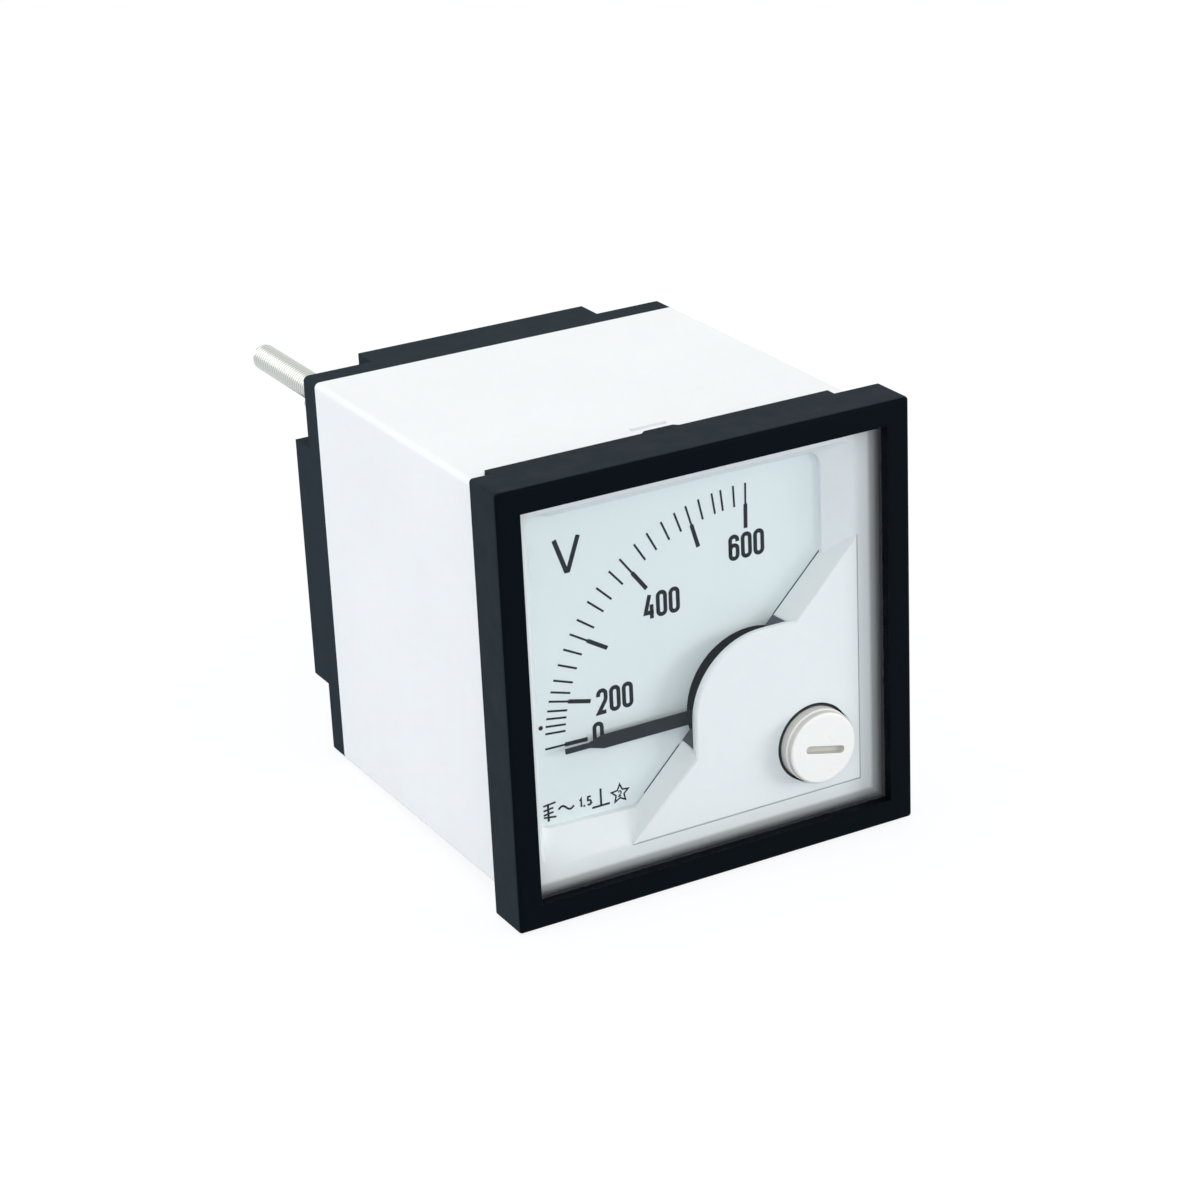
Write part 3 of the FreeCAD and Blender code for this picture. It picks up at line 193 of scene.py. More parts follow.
def zinc_with_painted_root_shade(name, colour, root_shade_colour, centre, root, crest):
    """Bright plate with painted shade in the roots of a thread; both studs stand as far out in X as in Z."""
    finish = Finish(name, colour, 0.24, metallic=1.0)
    steps = (("ABSOLUTE", {}), ("SUBTRACT", {1: (centre * MM, 0, centre * MM)}), ("MULTIPLY", {1: (1, 0, 1)}),
             ("LENGTH", {}))
    place = finish.place
    for operation, operand in steps:
        step = finish.add("ShaderNodeVectorMath", {0: place, **operand}, operation=operation)
        place = step.outputs["Value" if operation == "LENGTH" else "Vector"]
    finish.blend(finish.spread(place, 0, 1, root * MM, crest * MM), root_shade_colour, colour)
    finish.uneven(1.5, 0.2, 0.34)
    finish.grain(4.0, 0.0006)
    return finish.material


def moulded(name, colour, roughness, specular, grain=0.004, painted_shade_stops=None, **sockets):
    """Injection-moulded plastic: fine spark-eroded grain and faint flow marks, with painted shade falling
    with the reach where its stops are given.
    """
    finish = Finish(name, colour, roughness, specular=specular, **sockets)
    finish.mottle(0.05, 0.015)
    if painted_shade_stops:
        finish.painted_shade_by_reach(painted_shade_stops)
    finish.uneven(0.4, roughness - 0.05, roughness + 0.05)
    finish.grain(9.0, grain)
    return finish.material


def metal(name, colour, roughness, grain=0.002, stretch=(1, 1, 1), mottle=0.07):
    """Worked metal: fine tool marks, slightly drawn out, and uneven polish."""
    finish = Finish(name, colour, roughness, metallic=1.0)
    finish.mottle(0.6, mottle)
    finish.uneven(1.5, roughness - 0.07, roughness + 0.1, stretch)
    finish.grain(6.0, grain, stretch=stretch)
    return finish.material


def coated(name, colour, roughness, specular, mottle, uneven, grain):
    """Paint, ink, lacquer or sheath; the last three are what those layers of a finish take."""
    finish = Finish(name, colour, roughness, specular=specular)
    finish.mottle(*mottle)
    finish.uneven(*uneven)
    finish.grain(*grain)
    return finish.material


def wound_wire(name, colour, pitch):
    """Enamelled wire laid side by side round the Y axis, with painted shade between the turns."""
    finish = Finish(name, colour, 0.3, metallic=0.85)
    finish.uneven(1.0, 0.24, 0.4)
    finish.windings("Y", pitch, 0.05, shade=0.45)
    return finish.material


def clear_pane(name):
    """Clear sheet that mirrors a little on its outer faces and lets the rest through."""
    finish = Finish(name, srgb(250, 252, 252), 0.03)
    smudge = finish.spread(finish.noise(0.15, SMUDGE_NOISE, detail=2.0), 0.01, 0.04)
    mirror = finish.add("ShaderNodeBsdfGlossy", {"Color": srgb(226, 236, 246), "Roughness": smudge})
    through = finish.add("ShaderNodeBsdfTransparent", {"Color": srgb(253, 253, 253)})
    fresnel = finish.add("ShaderNodeFresnel", {"IOR": 1.4})
    inside = finish.add("ShaderNodeNewGeometry").outputs["Backfacing"]
    outside = finish.add("ShaderNodeMath", {0: 1.0, 1: inside}, operation="SUBTRACT")
    share = finish.add("ShaderNodeMath", {0: fresnel.outputs["Fac"], 1: outside.outputs["Value"]},
                       operation="MULTIPLY")
    sheet = finish.add("ShaderNodeMixShader", {
        "Fac": share.outputs["Value"], 1: through.outputs["BSDF"], 2: mirror.outputs["BSDF"],
    })
    finish.show(sheet.outputs["Shader"])
    finish.tree.nodes.remove(finish.shader)
    return finish.material


PALE_DEPTH = {"Subsurface_Weight": 0.12, "Subsurface_Scale": 0.0008}
KNOB_DEPTH = {"Subsurface_Weight": 0.15, "Subsurface_Scale": 0.0008}
# Painted shade on the mask near the bezel's walls at the right and the bottom, as (reach in millimetres,
# share)
MASK_PAINTED_SHADE = ((18.5, 1.0), (20.2, 0.95), (20.6, 0.6), (21.4, 0.2))

black_moulding = moulded("black_moulding", srgb(4, 11, 17), 0.5, 0.03)
# Lighter black for the bezel's outer sides, as painted light
bezel_side_painted_light = moulded("bezel_side_painted_light", srgb(34, 42, 48), 0.6, 0.03)
black_cover = moulded("black_cover", srgb(43, 51, 57), 0.62, 0.01)
white_moulding = moulded("white_moulding", srgb(239, 241, 242), 0.42, 0.35, grain=0.003, **PALE_DEPTH)
white_mask = moulded("white_mask", srgb(239, 243, 243), 0.38, 0.35, grain=0.0015, painted_shade_stops=MASK_PAINTED_SHADE,
                     **PALE_DEPTH)
# Painted shade for the mask's recess wall and the walls under its flanks
mask_painted_shade = moulded("mask_painted_shade", srgb(84, 90, 95), 0.5, 0.2, grain=0.0015)
# Painted shade line at the foot of the mask's raised corner
painted_step_shade = moulded("painted_step_shade", srgb(158, 164, 166), 0.5, 0.1, grain=0.0015)
white_knob = moulded("white_knob", srgb(240, 240, 236), 0.32, 0.4, grain=0.0015, **KNOB_DEPTH)
# Painted shade: the knob's side wall and slot darker than its face, and near black in the gaps round it
knob_wall_painted_shade = moulded("knob_wall_painted_shade", srgb(208, 207, 200), 0.4, 0.3, grain=0.002)
knob_slot_painted_shade = moulded("knob_slot_painted_shade", srgb(200, 198, 191), 0.5, 0.2, grain=0.002)
gap_painted_shade = moulded("gap_painted_shade", srgb(26, 28, 30), 0.6, 0.2)
bobbin = moulded("bobbin", srgb(72, 70, 66), 0.5, 0.4)

turned_brass = metal("turned_brass", srgb(214, 176, 92), 0.28, grain=0.0008)
bright_zinc = metal("bright_zinc", srgb(205, 208, 210), 0.25, grain=0.0006)
nickel_plate = metal("nickel_plate", srgb(148, 144, 134), 0.34, grain=0.0006, mottle=0.03)
screw_plate = metal("screw_plate", srgb(206, 207, 206), 0.24, grain=0.0003, mottle=0.02)
# Painted shade in the slots of the terminal screws
screw_slot_painted_shade = metal("screw_slot_painted_shade", srgb(96, 95, 92), 0.4, grain=0.0006)
ground_steel = metal("ground_steel", srgb(176, 178, 182), 0.3)
rolled_sheet = metal("rolled_sheet", srgb(200, 202, 205), 0.32, stretch=(1, 1, 0.1))
soft_iron = metal("soft_iron", srgb(140, 141, 145), 0.45, grain=0.004)
spring_bronze = metal("spring_bronze", srgb(190, 132, 84), 0.25)
# Painted shade in the roots of the studs' thread
stud_zinc_root_shade = zinc_with_painted_root_shade("stud_zinc_root_shade", srgb(212, 215, 209), srgb(58, 62, 61),
                          centre=18.3, root=1.2, crest=1.47)

dial_paint = coated("dial_paint", srgb(228, 238, 238), 0.6, 0.25,
                    mottle=(0.08, 0.012), uneven=(0.5, 0.52, 0.66), grain=(12.0, 0.0015))
ink = coated("ink", srgb(16, 24, 30), 0.7, 0.1,
             mottle=(2.5, 0.1), uneven=(3.0, 0.6, 0.78), grain=(15.0, 0.001))
pointer_paint = coated("pointer_paint", srgb(18, 25, 32), 0.55, 0.15,
                       mottle=(0.8, 0.08), uneven=(1.0, 0.42, 0.56), grain=(10.0, 0.0015))
board = coated("board", srgb(134, 92, 48), 0.45, 0.4, mottle=(1.2, 0.12, (1, 1, 0.15)),
               uneven=(2.0, 0.38, 0.55), grain=(5.0, 0.006, 4.0, (1, 1, 0.2)))
resistor_coat = coated("resistor_coat", srgb(112, 128, 104), 0.4, 0.45,
                       mottle=(0.7, 0.08), uneven=(1.0, 0.32, 0.5), grain=(2.0, 0.02))
red_insulation = coated("red_insulation", srgb(156, 26, 20), 0.45, 0.4,
                        mottle=(0.5, 0.08), uneven=(1.0, 0.38, 0.55), grain=(4.0, 0.006))
copper_wire = wound_wire("copper_wire", srgb(168, 84, 44), pitch=0.22)
window = clear_pane("window")

FINISHES = {
    "bezel": black_moulding, "window_pane": window, "dial_mask": white_mask,
    "zero_adjuster": white_knob, "dial_plate": dial_paint, "dial_screws": turned_brass,
    "movement_frame": black_moulding, "front_bridge": rolled_sheet, "front_jewel": turned_brass,
    "rear_jewel": turned_brass, "rear_bridge": rolled_sheet, "bridge_screws": bright_zinc,
    "coil_bobbin": bobbin, "coil_winding": copper_wire, "fixed_iron": soft_iron,
    "moving_iron": soft_iron, "staff": ground_steel, "pointer": pointer_paint,
    "balance_weights": turned_brass, "damping_vane": rolled_sheet, "hairspring": spring_bronze,
    "zero_lever": turned_brass, "case": white_moulding, "rear_cover": black_cover,
    "fixing_studs": bright_zinc, "stud_washers": bright_zinc, "stud_nuts": bright_zinc,
    "terminal_bushings": turned_brass, "terminal_clamps": nickel_plate,
    "terminal_screws": screw_plate, "resistor_board": board,
    "series_resistors": resistor_coat, "coil_leads": red_insulation,
}


def finished(thing, material):
    """Gives an object one finish all over."""
    thing.data.materials.clear()
    thing.data.materials.append(material)


for name, thing in nodes.items():
    finished(thing, FINISHES[name])


# Meshes

FLAT_ANGLE = math.radians(0.5)
SHARP_ANGLE = math.radians(40.0)


def new_piece(name, work, material, body="meter", replaces=None, smooth=35.0, others=()):
    """A finished object from a bmesh, riding on a body; others are (material, test of a face)."""
    for index, (_, test) in enumerate(others, start=1):
        for face in work.faces:
            if test(face.calc_center_median(), face.normal):
                face.material_index = index
    bmesh.ops.recalc_face_normals(work, faces=work.faces)
    mesh = bpy.data.meshes.new(name)
    for finish in (material, *(other for other, _ in others)):
        mesh.materials.append(finish)
    work.to_mesh(mesh)
    work.free()
    mesh.transform(Matrix.Scale(MM, 4))
    if smooth:
        mesh.shade_smooth()
        mesh.set_sharp_from_angle(angle=math.radians(smooth))
    thing = bpy.data.objects.new(name, mesh)
    scene.collection.objects.link(thing)
    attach(thing, body)
    if replaces:
        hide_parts(replaces)
    return thing


def shade_evenly(thing):
    """Shades large faces flat, and lets the small ones beside them take the turn."""
    thing.modifiers.new("even_shading", "WEIGHTED_NORMAL").keep_sharp = True


def copied(node):
    """A bmesh of a node's solid."""
    work = bmesh.new()
    work.from_mesh(nodes[node].data)
    work.transform(Matrix.Scale(1 / MM, 4))
    bmesh.ops.remove_doubles(work, verts=work.verts, dist=MERGE)
    return work


def softened(node, width, segments=2, others=(), nudge=None):
    """A copy of a node with its sharp edges rolled over, standing for it; nudge moves its points."""
    work = copied(node)
    if nudge:
        for vert in work.verts:
            nudge(vert.co)
    bmesh.ops.dissolve_limit(work, angle_limit=FLAT_ANGLE, verts=work.verts, edges=work.edges)
    sharp = [edge for edge in work.edges
             if len(edge.link_faces) == 2 and edge.calc_face_angle(0) > SHARP_ANGLE]
    bmesh.ops.bevel(work, geom=sharp, offset=width, segments=segments, profile=0.5,
                    affect="EDGES", clamp_overlap=True)
    bmesh.ops.recalc_face_normals(work, faces=work.faces)
    shade_evenly(new_piece(node + "_moulding", work, FINISHES[node], replaces=node, others=others))


def join_rings(work, here, there):
    """A band of faces between two rings with as many points."""
    for i in range(len(here)):
        j = (i + 1) % len(here)
        work.faces.new((here[i], here[j], there[j], there[i]))


def close_ends(work, first, last):
    """A face over each end of a skin."""
    work.faces.new(first)
    work.faces.new(reversed(last))


def skin(work, rows, closed_ends=True):
    """Joins rings of the same length into a skin."""
    rings = [[work.verts.new(point) for point in row] for row in rows]
    for here, there in zip(rings, rings[1:]):
        join_rings(work, here, there)
    if closed_ends:
        close_ends(work, rings[0], rings[-1])


# Print on the dial, and painted shade in the gaps under the mask's flanks: strokes of ink as thin solids,
# drawn in x and z

INK_FRONT = -0.325
INK_BACK = -0.29
MITRE_LIMIT = 0.4


def arc(x, z, radius, start, end, steps=5):
    """Points on an arc, by angles in degrees that count up from +X towards +Z."""
    sweep = [math.radians(start + (end - start) * step / steps) for step in range(steps + 1)]
    return [(x + radius * math.cos(a), z + radius * math.sin(a)) for a in sweep]


def stroke(work, points, width, closed=False, front=INK_FRONT, back=INK_BACK):
    """One stroke along points, between two depths: mitred sides, square ends."""
    points = [Vector(point) for point in points]
    count = len(points)
    rings = []
    for i, point in enumerate(points):
        before = points[i - 1] if i or closed else None
        after = points[(i + 1) % count] if i + 1 < count or closed else None
        ways = [(b - a).normalized() for a, b in ((before, point), (point, after)) if a and b]
        way = sum(ways, Vector((0, 0))).normalized()
        side = Vector((-way.y, way.x))
        reach = width / 2 / max(MITRE_LIMIT, side.dot(Vector((-ways[0].y, ways[0].x))))
        left, right = point + side * reach, point - side * reach
        corners = ((left, front), (right, front), (right, back), (left, back))
        rings.append([work.verts.new((corner.x, y, corner.y)) for corner, y in corners])
    for here, there in zip(rings, rings[1:]):
        join_rings(work, here, there)
    if closed:
        join_rings(work, rings[-1], rings[0])
    else:
        close_ends(work, rings[0], rings[-1])


def dot(work, x, z, radius, steps=20):
    """A round spot of ink."""
    ring = arc(x, z, radius, 0, 360 - 360 / steps, steps - 1)
    skin(work, [[(px, y, pz) for px, pz in ring] for y in (INK_FRONT, INK_BACK)])


def glyph(character, wide, high):
    """The strokes of a narrow round-cornered figure, as (points, closed), along their middles."""
    r = min(0.45, wide * 0.48) if wide > 0.5 else wide * 0.45
    top = arc(r, high - r, r, 180, 90) + arc(wide - r, high - r, r, 90, 0)
    bottom = arc(r, r, r, 180, 270) + arc(wide - r, r, r, 270, 360)
    if character == "0":
        return [(bottom + top[::-1], True)]
    if character == "1":
        return [([(wide * 0.15, high * 0.78), (wide * 0.6, high), (wide * 0.6, 0)], False)]
    if character == "2":
        foot = [(wide, high * 0.62), (wide * 0.9, high * 0.5), (0, 0), (wide, 0)]
        return [([(0, high * 0.74)] + top + foot, False)]
    if character == "4":
        return [([(wide * 0.62, high), (0.02, high * 0.2), (wide + 0.12, high * 0.2)], False),
                ([(wide * 0.86, high * 0.55), (wide * 0.86, -0.2)], False)]
    if character == "5":
        flag = [(wide, high), (wide * 0.12, high), (wide * 0.05, high * 0.56)]
        belly = arc(wide - r, high * 0.56 - r, r, 90, 0) + [(wide, r)] + arc(wide - r, r, r, 0, -90)
        return [(flag + belly + arc(r, r, r, 270, 200), False)]
    bowl = high * 0.6
    return [([(wide, high * 0.76)] + top[::-1] + [(0, r)], False),
            (bottom + arc(wide - r, bowl - r, r, 0, 90) + arc(r, bowl - r, r, 90, 180), True)]


def figures(work, text, left, bottom, wide, high, pitch, weight):
    """Figures 0, 1, 2, 4, 5 and 6 in cells that start at left and bottom, with a point between them."""
    for character in text:
        if character == ".":
            radius = weight * 0.6
            dot(work, left + radius, bottom + radius, radius, steps=8)
            left += weight * 2.2
            continue
        for points, closed in glyph(character, wide - weight, high - weight):
            placed = [(left + weight / 2 + x, bottom + weight / 2 + z) for x, z in points]
            stroke(work, placed, weight, closed)
        left += pitch


SCALE_X = 6.68
SCALE_Z = -7.38
SCALE_ANGLES = {
    0: 1.4, 120: 5.4, 140: 7.3, 160: 9.3, 180: 11.3, 200: 13.8, 220: 16.2, 240: 19.2, 260: 23.2,
    280: 27.2, 300: 31.2, 320: 35.1, 340: 40.1, 360: 44.0, 380: 49.0, 400: 52.9, 420: 57.9,
    440: 62.0, 460: 66.5, 480: 70.5, 500: 73.9, 520: 77.6, 540: 81.5, 560: 84.0, 580: 87.6, 600: 91.1,
}
TICK_OUTER = 24.14
TICK_MINOR = 21.8
TICK_MAJOR = 19.2
TICK_JOIN = 0.05
MINOR_WIDTH = 0.22
MAJOR_WIDTH = 0.45

SCALE_FIGURES = {"wide": 1.3, "high": 2.88, "pitch": 1.5, "weight": 0.44}
CLASS_FIGURES = {"wide": 0.58, "high": 1.12, "pitch": 0.54, "weight": 0.2}
STAR_FIGURES = {"wide": 0.42, "high": 0.72, "pitch": 0.5, "weight": 0.13}

SCALE_NUMBERS = (("600", 4.93, 8.52), ("400", -5.36, 4.5), ("200", -11.28, -4.62), ("0", -11.9, -8.2))
DIAL_DOT = {"x": -17.84, "z": -4.3, "radius": 0.25}

# Strokes of the unit, the painted shade in the gap under the mask's flanks and the symbols at the foot of the
# scale

VOLT_LETTER = ([(-15.24, 15.6), (-14.02, 12.05), (-13.78, 12.05), (-12.5, 15.6)],)
FLANK_GAP_SHADE = ([(-6.13, -14.87), (-1.73, -10.47)], [(10.12, 1.38), (15.97, 7.23)])
MOVING_IRON_CORE = ([(-17.5, -12.95), (-17.5, -14.95)],)
MOVING_IRON_BARS = ([(-18.05, -13.12), (-16.6, -12.98)], [(-18.05, -13.67), (-16.9, -13.53)],
                    [(-18.05, -14.15), (-16.9, -14.01)], [(-18.05, -14.42), (-16.6, -14.62)])
CURRENT_WAVE = ([(-16.3 + 1.8 * step / 16, -13.93 + 0.28 * math.sin(math.tau * step / 16))
                 for step in range(17)],)
UPRIGHT_USE = ([(-12.38, -14.85), (-10.3, -14.85)], [(-11.32, -14.85), (-11.32, -12.9)])
STROKE_WIDTHS = ((VOLT_LETTER, 0.5), (FLANK_GAP_SHADE, 0.24), (MOVING_IRON_CORE, 0.24), (MOVING_IRON_BARS, 0.2),
                 (CURRENT_WAVE, 0.22), (UPRIGHT_USE, 0.23))
STAR_WIDTH = 0.17
TEST_STAR = [(-9.05 + radius * math.sin(math.pi * step / 5), -14.08 + radius * math.cos(math.pi * step / 5))
             for step, radius in enumerate([1.05, 0.5] * 5)]


def tick(work, angle, outer, inner, width):
    """A scale mark between two radii."""
    a = math.radians(angle)
    stroke(work, [(SCALE_X - r * math.cos(a), SCALE_Z + r * math.sin(a)) for r in (outer, inner)], width)


work = bmesh.new()
for volts, angle in SCALE_ANGLES.items():
    tick(work, angle, TICK_OUTER, TICK_MINOR, MINOR_WIDTH)
    if volts % 100 == 0:
        tick(work, angle, TICK_MINOR + TICK_JOIN, TICK_MAJOR, MAJOR_WIDTH)
for text, left, bottom in SCALE_NUMBERS:
    figures(work, text, left, bottom, **SCALE_FIGURES)
figures(work, "1.5", -13.96, -14.46, **CLASS_FIGURES)
figures(work, "2", -9.27, -14.45, **STAR_FIGURES)
dot(work, **DIAL_DOT)
for lines, width in STROKE_WIDTHS:
    for line in lines:
        stroke(work, line, width)
stroke(work, TEST_STAR, STAR_WIDTH, closed=True)
new_piece("dial_print_and_gap_shade", work, ink, smooth=None)


# Threaded studs

STUDS = ((-18.3, 18.3), (18.3, -18.3))
STUD_START = 29.8
STUD_END = 63.7
THREAD_PITCH = 0.5
THREAD_CREST = 1.5
THREAD_ROOT = 1.21
THREAD_PROFILE = ((0.0, THREAD_ROOT), (0.12, THREAD_ROOT), (0.5, THREAD_CREST), (0.62, THREAD_CREST))
THREAD_STEPS = 28
SPARE_TURNS = 5
TIP_LENGTH = 0.8
TIP_ROUND = 0.45


def thread_limit(y):
    """The most that the stud's radius may be at y: rounded at the free end, closed at the hidden one."""
    if y <= STUD_START or y >= STUD_END:
        return 0.0
    if y > STUD_END - TIP_LENGTH:
        part = 1 - (STUD_END - y) / TIP_LENGTH
        return THREAD_CREST * (1 - TIP_ROUND * part ** 2)
    return THREAD_CREST


def threaded_rod(work, x, z):
    """A single-start thread as one helical skin, with turns to spare that end on the tip."""
    turns = int((STUD_END - STUD_START) / THREAD_PITCH) + SPARE_TURNS
    points = len(THREAD_PROFILE)
    grid = {}
    for row in range(turns * points):
        turn, part = divmod(row, points)
        share, profile_radius = THREAD_PROFILE[part]
        for step in range(THREAD_STEPS):
            y = STUD_START + THREAD_PITCH * (turn - 1 + share + step / THREAD_STEPS)
            y = min(max(y, STUD_START), STUD_END)
            radius = min(profile_radius, thread_limit(y))
            a = math.tau * step / THREAD_STEPS
            grid[row, step] = work.verts.new((x + radius * math.cos(a), y, z + radius * math.sin(a)))
    for row in range((turns - 1) * points - 1):
        for step in range(THREAD_STEPS):
            after = (row, step + 1) if step + 1 < THREAD_STEPS else (row + points, 0)
            above = (after[0] + 1, after[1])
            work.faces.new((grid[row, step], grid[after], grid[above], grid[row + 1, step]))


def on_tip(centre, normal):
    """The rounded free end of a stud."""
    return centre.y > STUD_END - TIP_LENGTH


work = bmesh.new()
for x, z in STUDS:
    threaded_rod(work, x, z)
bmesh.ops.remove_doubles(work, verts=work.verts, dist=MERGE)
bmesh.ops.dissolve_degenerate(work, dist=MERGE, edges=work.edges)
bmesh.ops.delete(work, geom=[vert for vert in work.verts if not vert.link_faces], context="VERTS")
new_piece("threaded_studs", work, stud_zinc_root_shade, replaces="fixing_studs", smooth=50.0,
          others=((bright_zinc, on_tip),))


# Nuts on the studs

NUT_FLATS = 5.5
NUT_BORE = 1.3
NUT_FRONT = 43.2
NUT_BACK = 45.6
NUT_FACE = NUT_FLATS / 2 * 0.95
NUT_SLOPE = math.tan(math.radians(28))
NUT_LEAD = 0.2
NUT_LEAD_DEPTH = 0.15
NUT_STEPS = 72


def hexagon_reach(angle):
    """Distance from the nut's middle to its side, with one corner at angle 0."""
    within = (math.degrees(angle) + 30) % 60 - 30
    return NUT_FLATS / 2 / math.cos(math.radians(30 - abs(within)))


def chamfered_nut(work, x, z):
    """A hexagon nut whose corners are turned off to a cone at both faces."""
    columns = []
    for step in range(NUT_STEPS):
        a = math.tau * step / NUT_STEPS
        outer = hexagon_reach(a)
        drop = (outer - NUT_FACE) * NUT_SLOPE
        column = ((NUT_BORE, NUT_FRONT + NUT_LEAD_DEPTH), (NUT_BORE + NUT_LEAD, NUT_FRONT),
                  (NUT_FACE, NUT_FRONT), (outer, NUT_FRONT + drop), (outer, NUT_BACK - drop),
                  (NUT_FACE, NUT_BACK), (NUT_BORE + NUT_LEAD, NUT_BACK),
                  (NUT_BORE, NUT_BACK - NUT_LEAD_DEPTH))
        columns.append([(x + radius * math.cos(a), y, z + radius * math.sin(a)) for radius, y in column])
    rows = list(zip(*columns))
    skin(work, [*rows, rows[0]], closed_ends=False)


work = bmesh.new()
for x, z in STUDS:
    chamfered_nut(work, x, z)
bmesh.ops.remove_doubles(work, verts=work.verts, dist=MERGE)
new_piece("hexagon_nuts", work, bright_zinc, replaces="stud_nuts", smooth=25.0)


# Zero adjuster: the node's rear part with a stepped, rounded head and a rounded slot

KNOB_X = 12.9
KNOB_Z = -12.9
KNOB_CUT = -3.2
KNOB_STEPS = 80
KNOB_ANGLES = [math.tau * (step + 0.5) / KNOB_STEPS for step in range(KNOB_STEPS)]
KNOB_PROFILE = ((3.95, -3.1), (4.1, -3.2), (4.1, -3.36), (4.12, -4.28), (4.1, -4.38), (4.03, -4.45),
                (3.93, -4.48), (3.9, -4.52), (3.93, -4.58), (3.95, -5.1), (3.93, -5.19), (3.87, -5.26),
                (3.78, -5.3), (3.7, -5.3))
SLOT_PROFILE = ((0.12, -5.3), (0.05, -5.3), (0.015, -5.285), (0.0, -5.25), (-0.03, -4.76), (-0.09, -4.7))
SLOT_X = 13.08
SLOT_Z = -13.12
SLOT_TURN = math.radians(-13.0)
SLOT_HALF = 1.98
SLOT_RADIUS = 0.42


def knob_ring(radius, y):
    """A ring round the knob's axis."""
    return [(KNOB_X + radius * math.cos(a), y, KNOB_Z + radius * math.sin(a)) for a in KNOB_ANGLES]


def slot_ring(margin, y):
    """The outline of the slot, round at both ends, with as many points as a ring of the knob."""
    ring = []
    for a in KNOB_ANGLES:
        turn = a - SLOT_TURN
        along = math.copysign(SLOT_HALF, math.cos(turn)) + (SLOT_RADIUS + margin) * math.cos(turn)
        across = (SLOT_RADIUS + margin) * math.sin(turn)
        ring.append((SLOT_X + along * math.cos(SLOT_TURN) - across * math.sin(SLOT_TURN), y,
                     SLOT_Z + along * math.sin(SLOT_TURN) + across * math.cos(SLOT_TURN)))
    return ring


def on_knob(low, high, front, back):
    """A test for the knob's faces between two radii and two depths."""
    def test(centre, normal):
        return low < math.hypot(centre.x - KNOB_X, centre.z - KNOB_Z) < high and front < centre.y < back
    return test


work = copied("zero_adjuster")
bmesh.ops.bisect_plane(work, geom=[*work.verts, *work.edges, *work.faces], plane_co=(0, KNOB_CUT, 0),
                       plane_no=(0, 1, 0), clear_inner=True)
bmesh.ops.holes_fill(work, edges=[edge for edge in work.edges if len(edge.link_faces) == 1], sides=0)
skin(work, [knob_ring(*row) for row in KNOB_PROFILE] + [slot_ring(*row) for row in SLOT_PROFILE])
# The knob's collar takes near black painted shade, and its side wall and slot a darker painted shade than its
# face
shade_evenly(new_piece("zero_adjuster_moulding", work, white_knob, body="adjuster", replaces="zero_adjuster",
                       others=(
                           (gap_painted_shade, on_knob(low=3.9, high=9.0, front=-3.37, back=-2.3)),
                           (knob_wall_painted_shade, on_knob(low=3.8, high=4.2, front=-4.3, back=-3.36)),
                           (knob_wall_painted_shade, on_knob(low=3.8, high=4.2, front=-5.12, back=-4.46)),
                           (knob_slot_painted_shade, on_knob(low=-1, high=3.0, front=-5.27, back=-4.6)),
                       )))


# Dial mask: eased to the shape seen, with painted shade on its recess wall, the knob hole's wall and the
# walls under its flanks, and a line of painted shade at the foot of its raised corner

FLANGE_FRONT = -3.0
ON_FLANGE = 0.01
PANE_CLEARANCE = 0.04
OPENING_EDGE = 18.4
OPENING_ROUND = 1.8
OPENING_FRONT = -1.2
OPENING_SLACK = 0.05
LEFT_EASE = 0.7
FOOT_EASE = 0.45
TOP_EASE = 0.3
CORNER_EASE = 1.1
CORNER_SHRINK = 0.3
HOLE_RADIUS = 4.25
ON_HOLE = 0.02
HOLE_EASE = 0.17
HOLE_REACH = 0.3
HOLE_TILT = 0.6
HUB_X = 7.1
HUB_Z = -7.1
RECESS_INNER = 8.7
RECESS_OUTER = 9.1
RECESS_FRONT = -2.7
RECESS_TILT = 0.3
FLANK_BASE = 8.6
PLATEAU_REACH = 18.8
# A line of painted shade at the foot of the raised corner: how far out and short it stands, its width and its
# depths
LINE_OUT = 0.05
LINE_SHORT = 1.0
LINE_WIDTH = 0.2
LINE_FRONT = -2.99
LINE_BACK = -2.9
WALL_FOOT = -0.35
WALL_HEAD = -2.65
WALL_RUN = (6.55, 8.1)
WALL_THICKNESS = 0.3


def ease_opening(point):
    """Moves the opening's foot outwards at the left and the top, most at the corner."""
    inner = OPENING_EDGE - OPENING_ROUND - OPENING_SLACK
    left, top = point.x < -inner, point.z > inner
    if left and point.z < 0:
        point.x -= LEFT_EASE
        point.z += FOOT_EASE
    elif left:
        point.x = -OPENING_EDGE - CORNER_EASE + (point.x + OPENING_EDGE) * CORNER_SHRINK
    if top and point.x > 0:
        point.z += TOP_EASE
    elif top:
        point.z = OPENING_EDGE + CORNER_EASE - (OPENING_EDGE - point.z) * CORNER_SHRINK


def ease_mask(point):
    """Puts the flange just clear of the pane, eases the opening and widens the knob's hole."""
    if abs(point.y - FLANGE_FRONT) < ON_FLANGE:
        point.y += PANE_CLEARANCE
    if point.y > OPENING_FRONT and max(abs(point.x), abs(point.z)) < OPENING_EDGE + OPENING_SLACK:
        ease_opening(point)
    out = Vector((point.x - KNOB_X, point.z - KNOB_Z))
    if abs(out.length - HOLE_RADIUS) < ON_HOLE:
        wide = out * ((HOLE_RADIUS + HOLE_EASE) / out.length)
        point.x, point.z = KNOB_X + wide.x, KNOB_Z + wide.y


def in_recess(centre, normal):
    """The wall of the recess round the drum, where the flanks end; it takes painted shade."""
    radius = math.hypot(centre.x - HUB_X, centre.z - HUB_Z)
    return RECESS_INNER < radius < RECESS_OUTER and centre.y > RECESS_FRONT and abs(normal.y) < RECESS_TILT


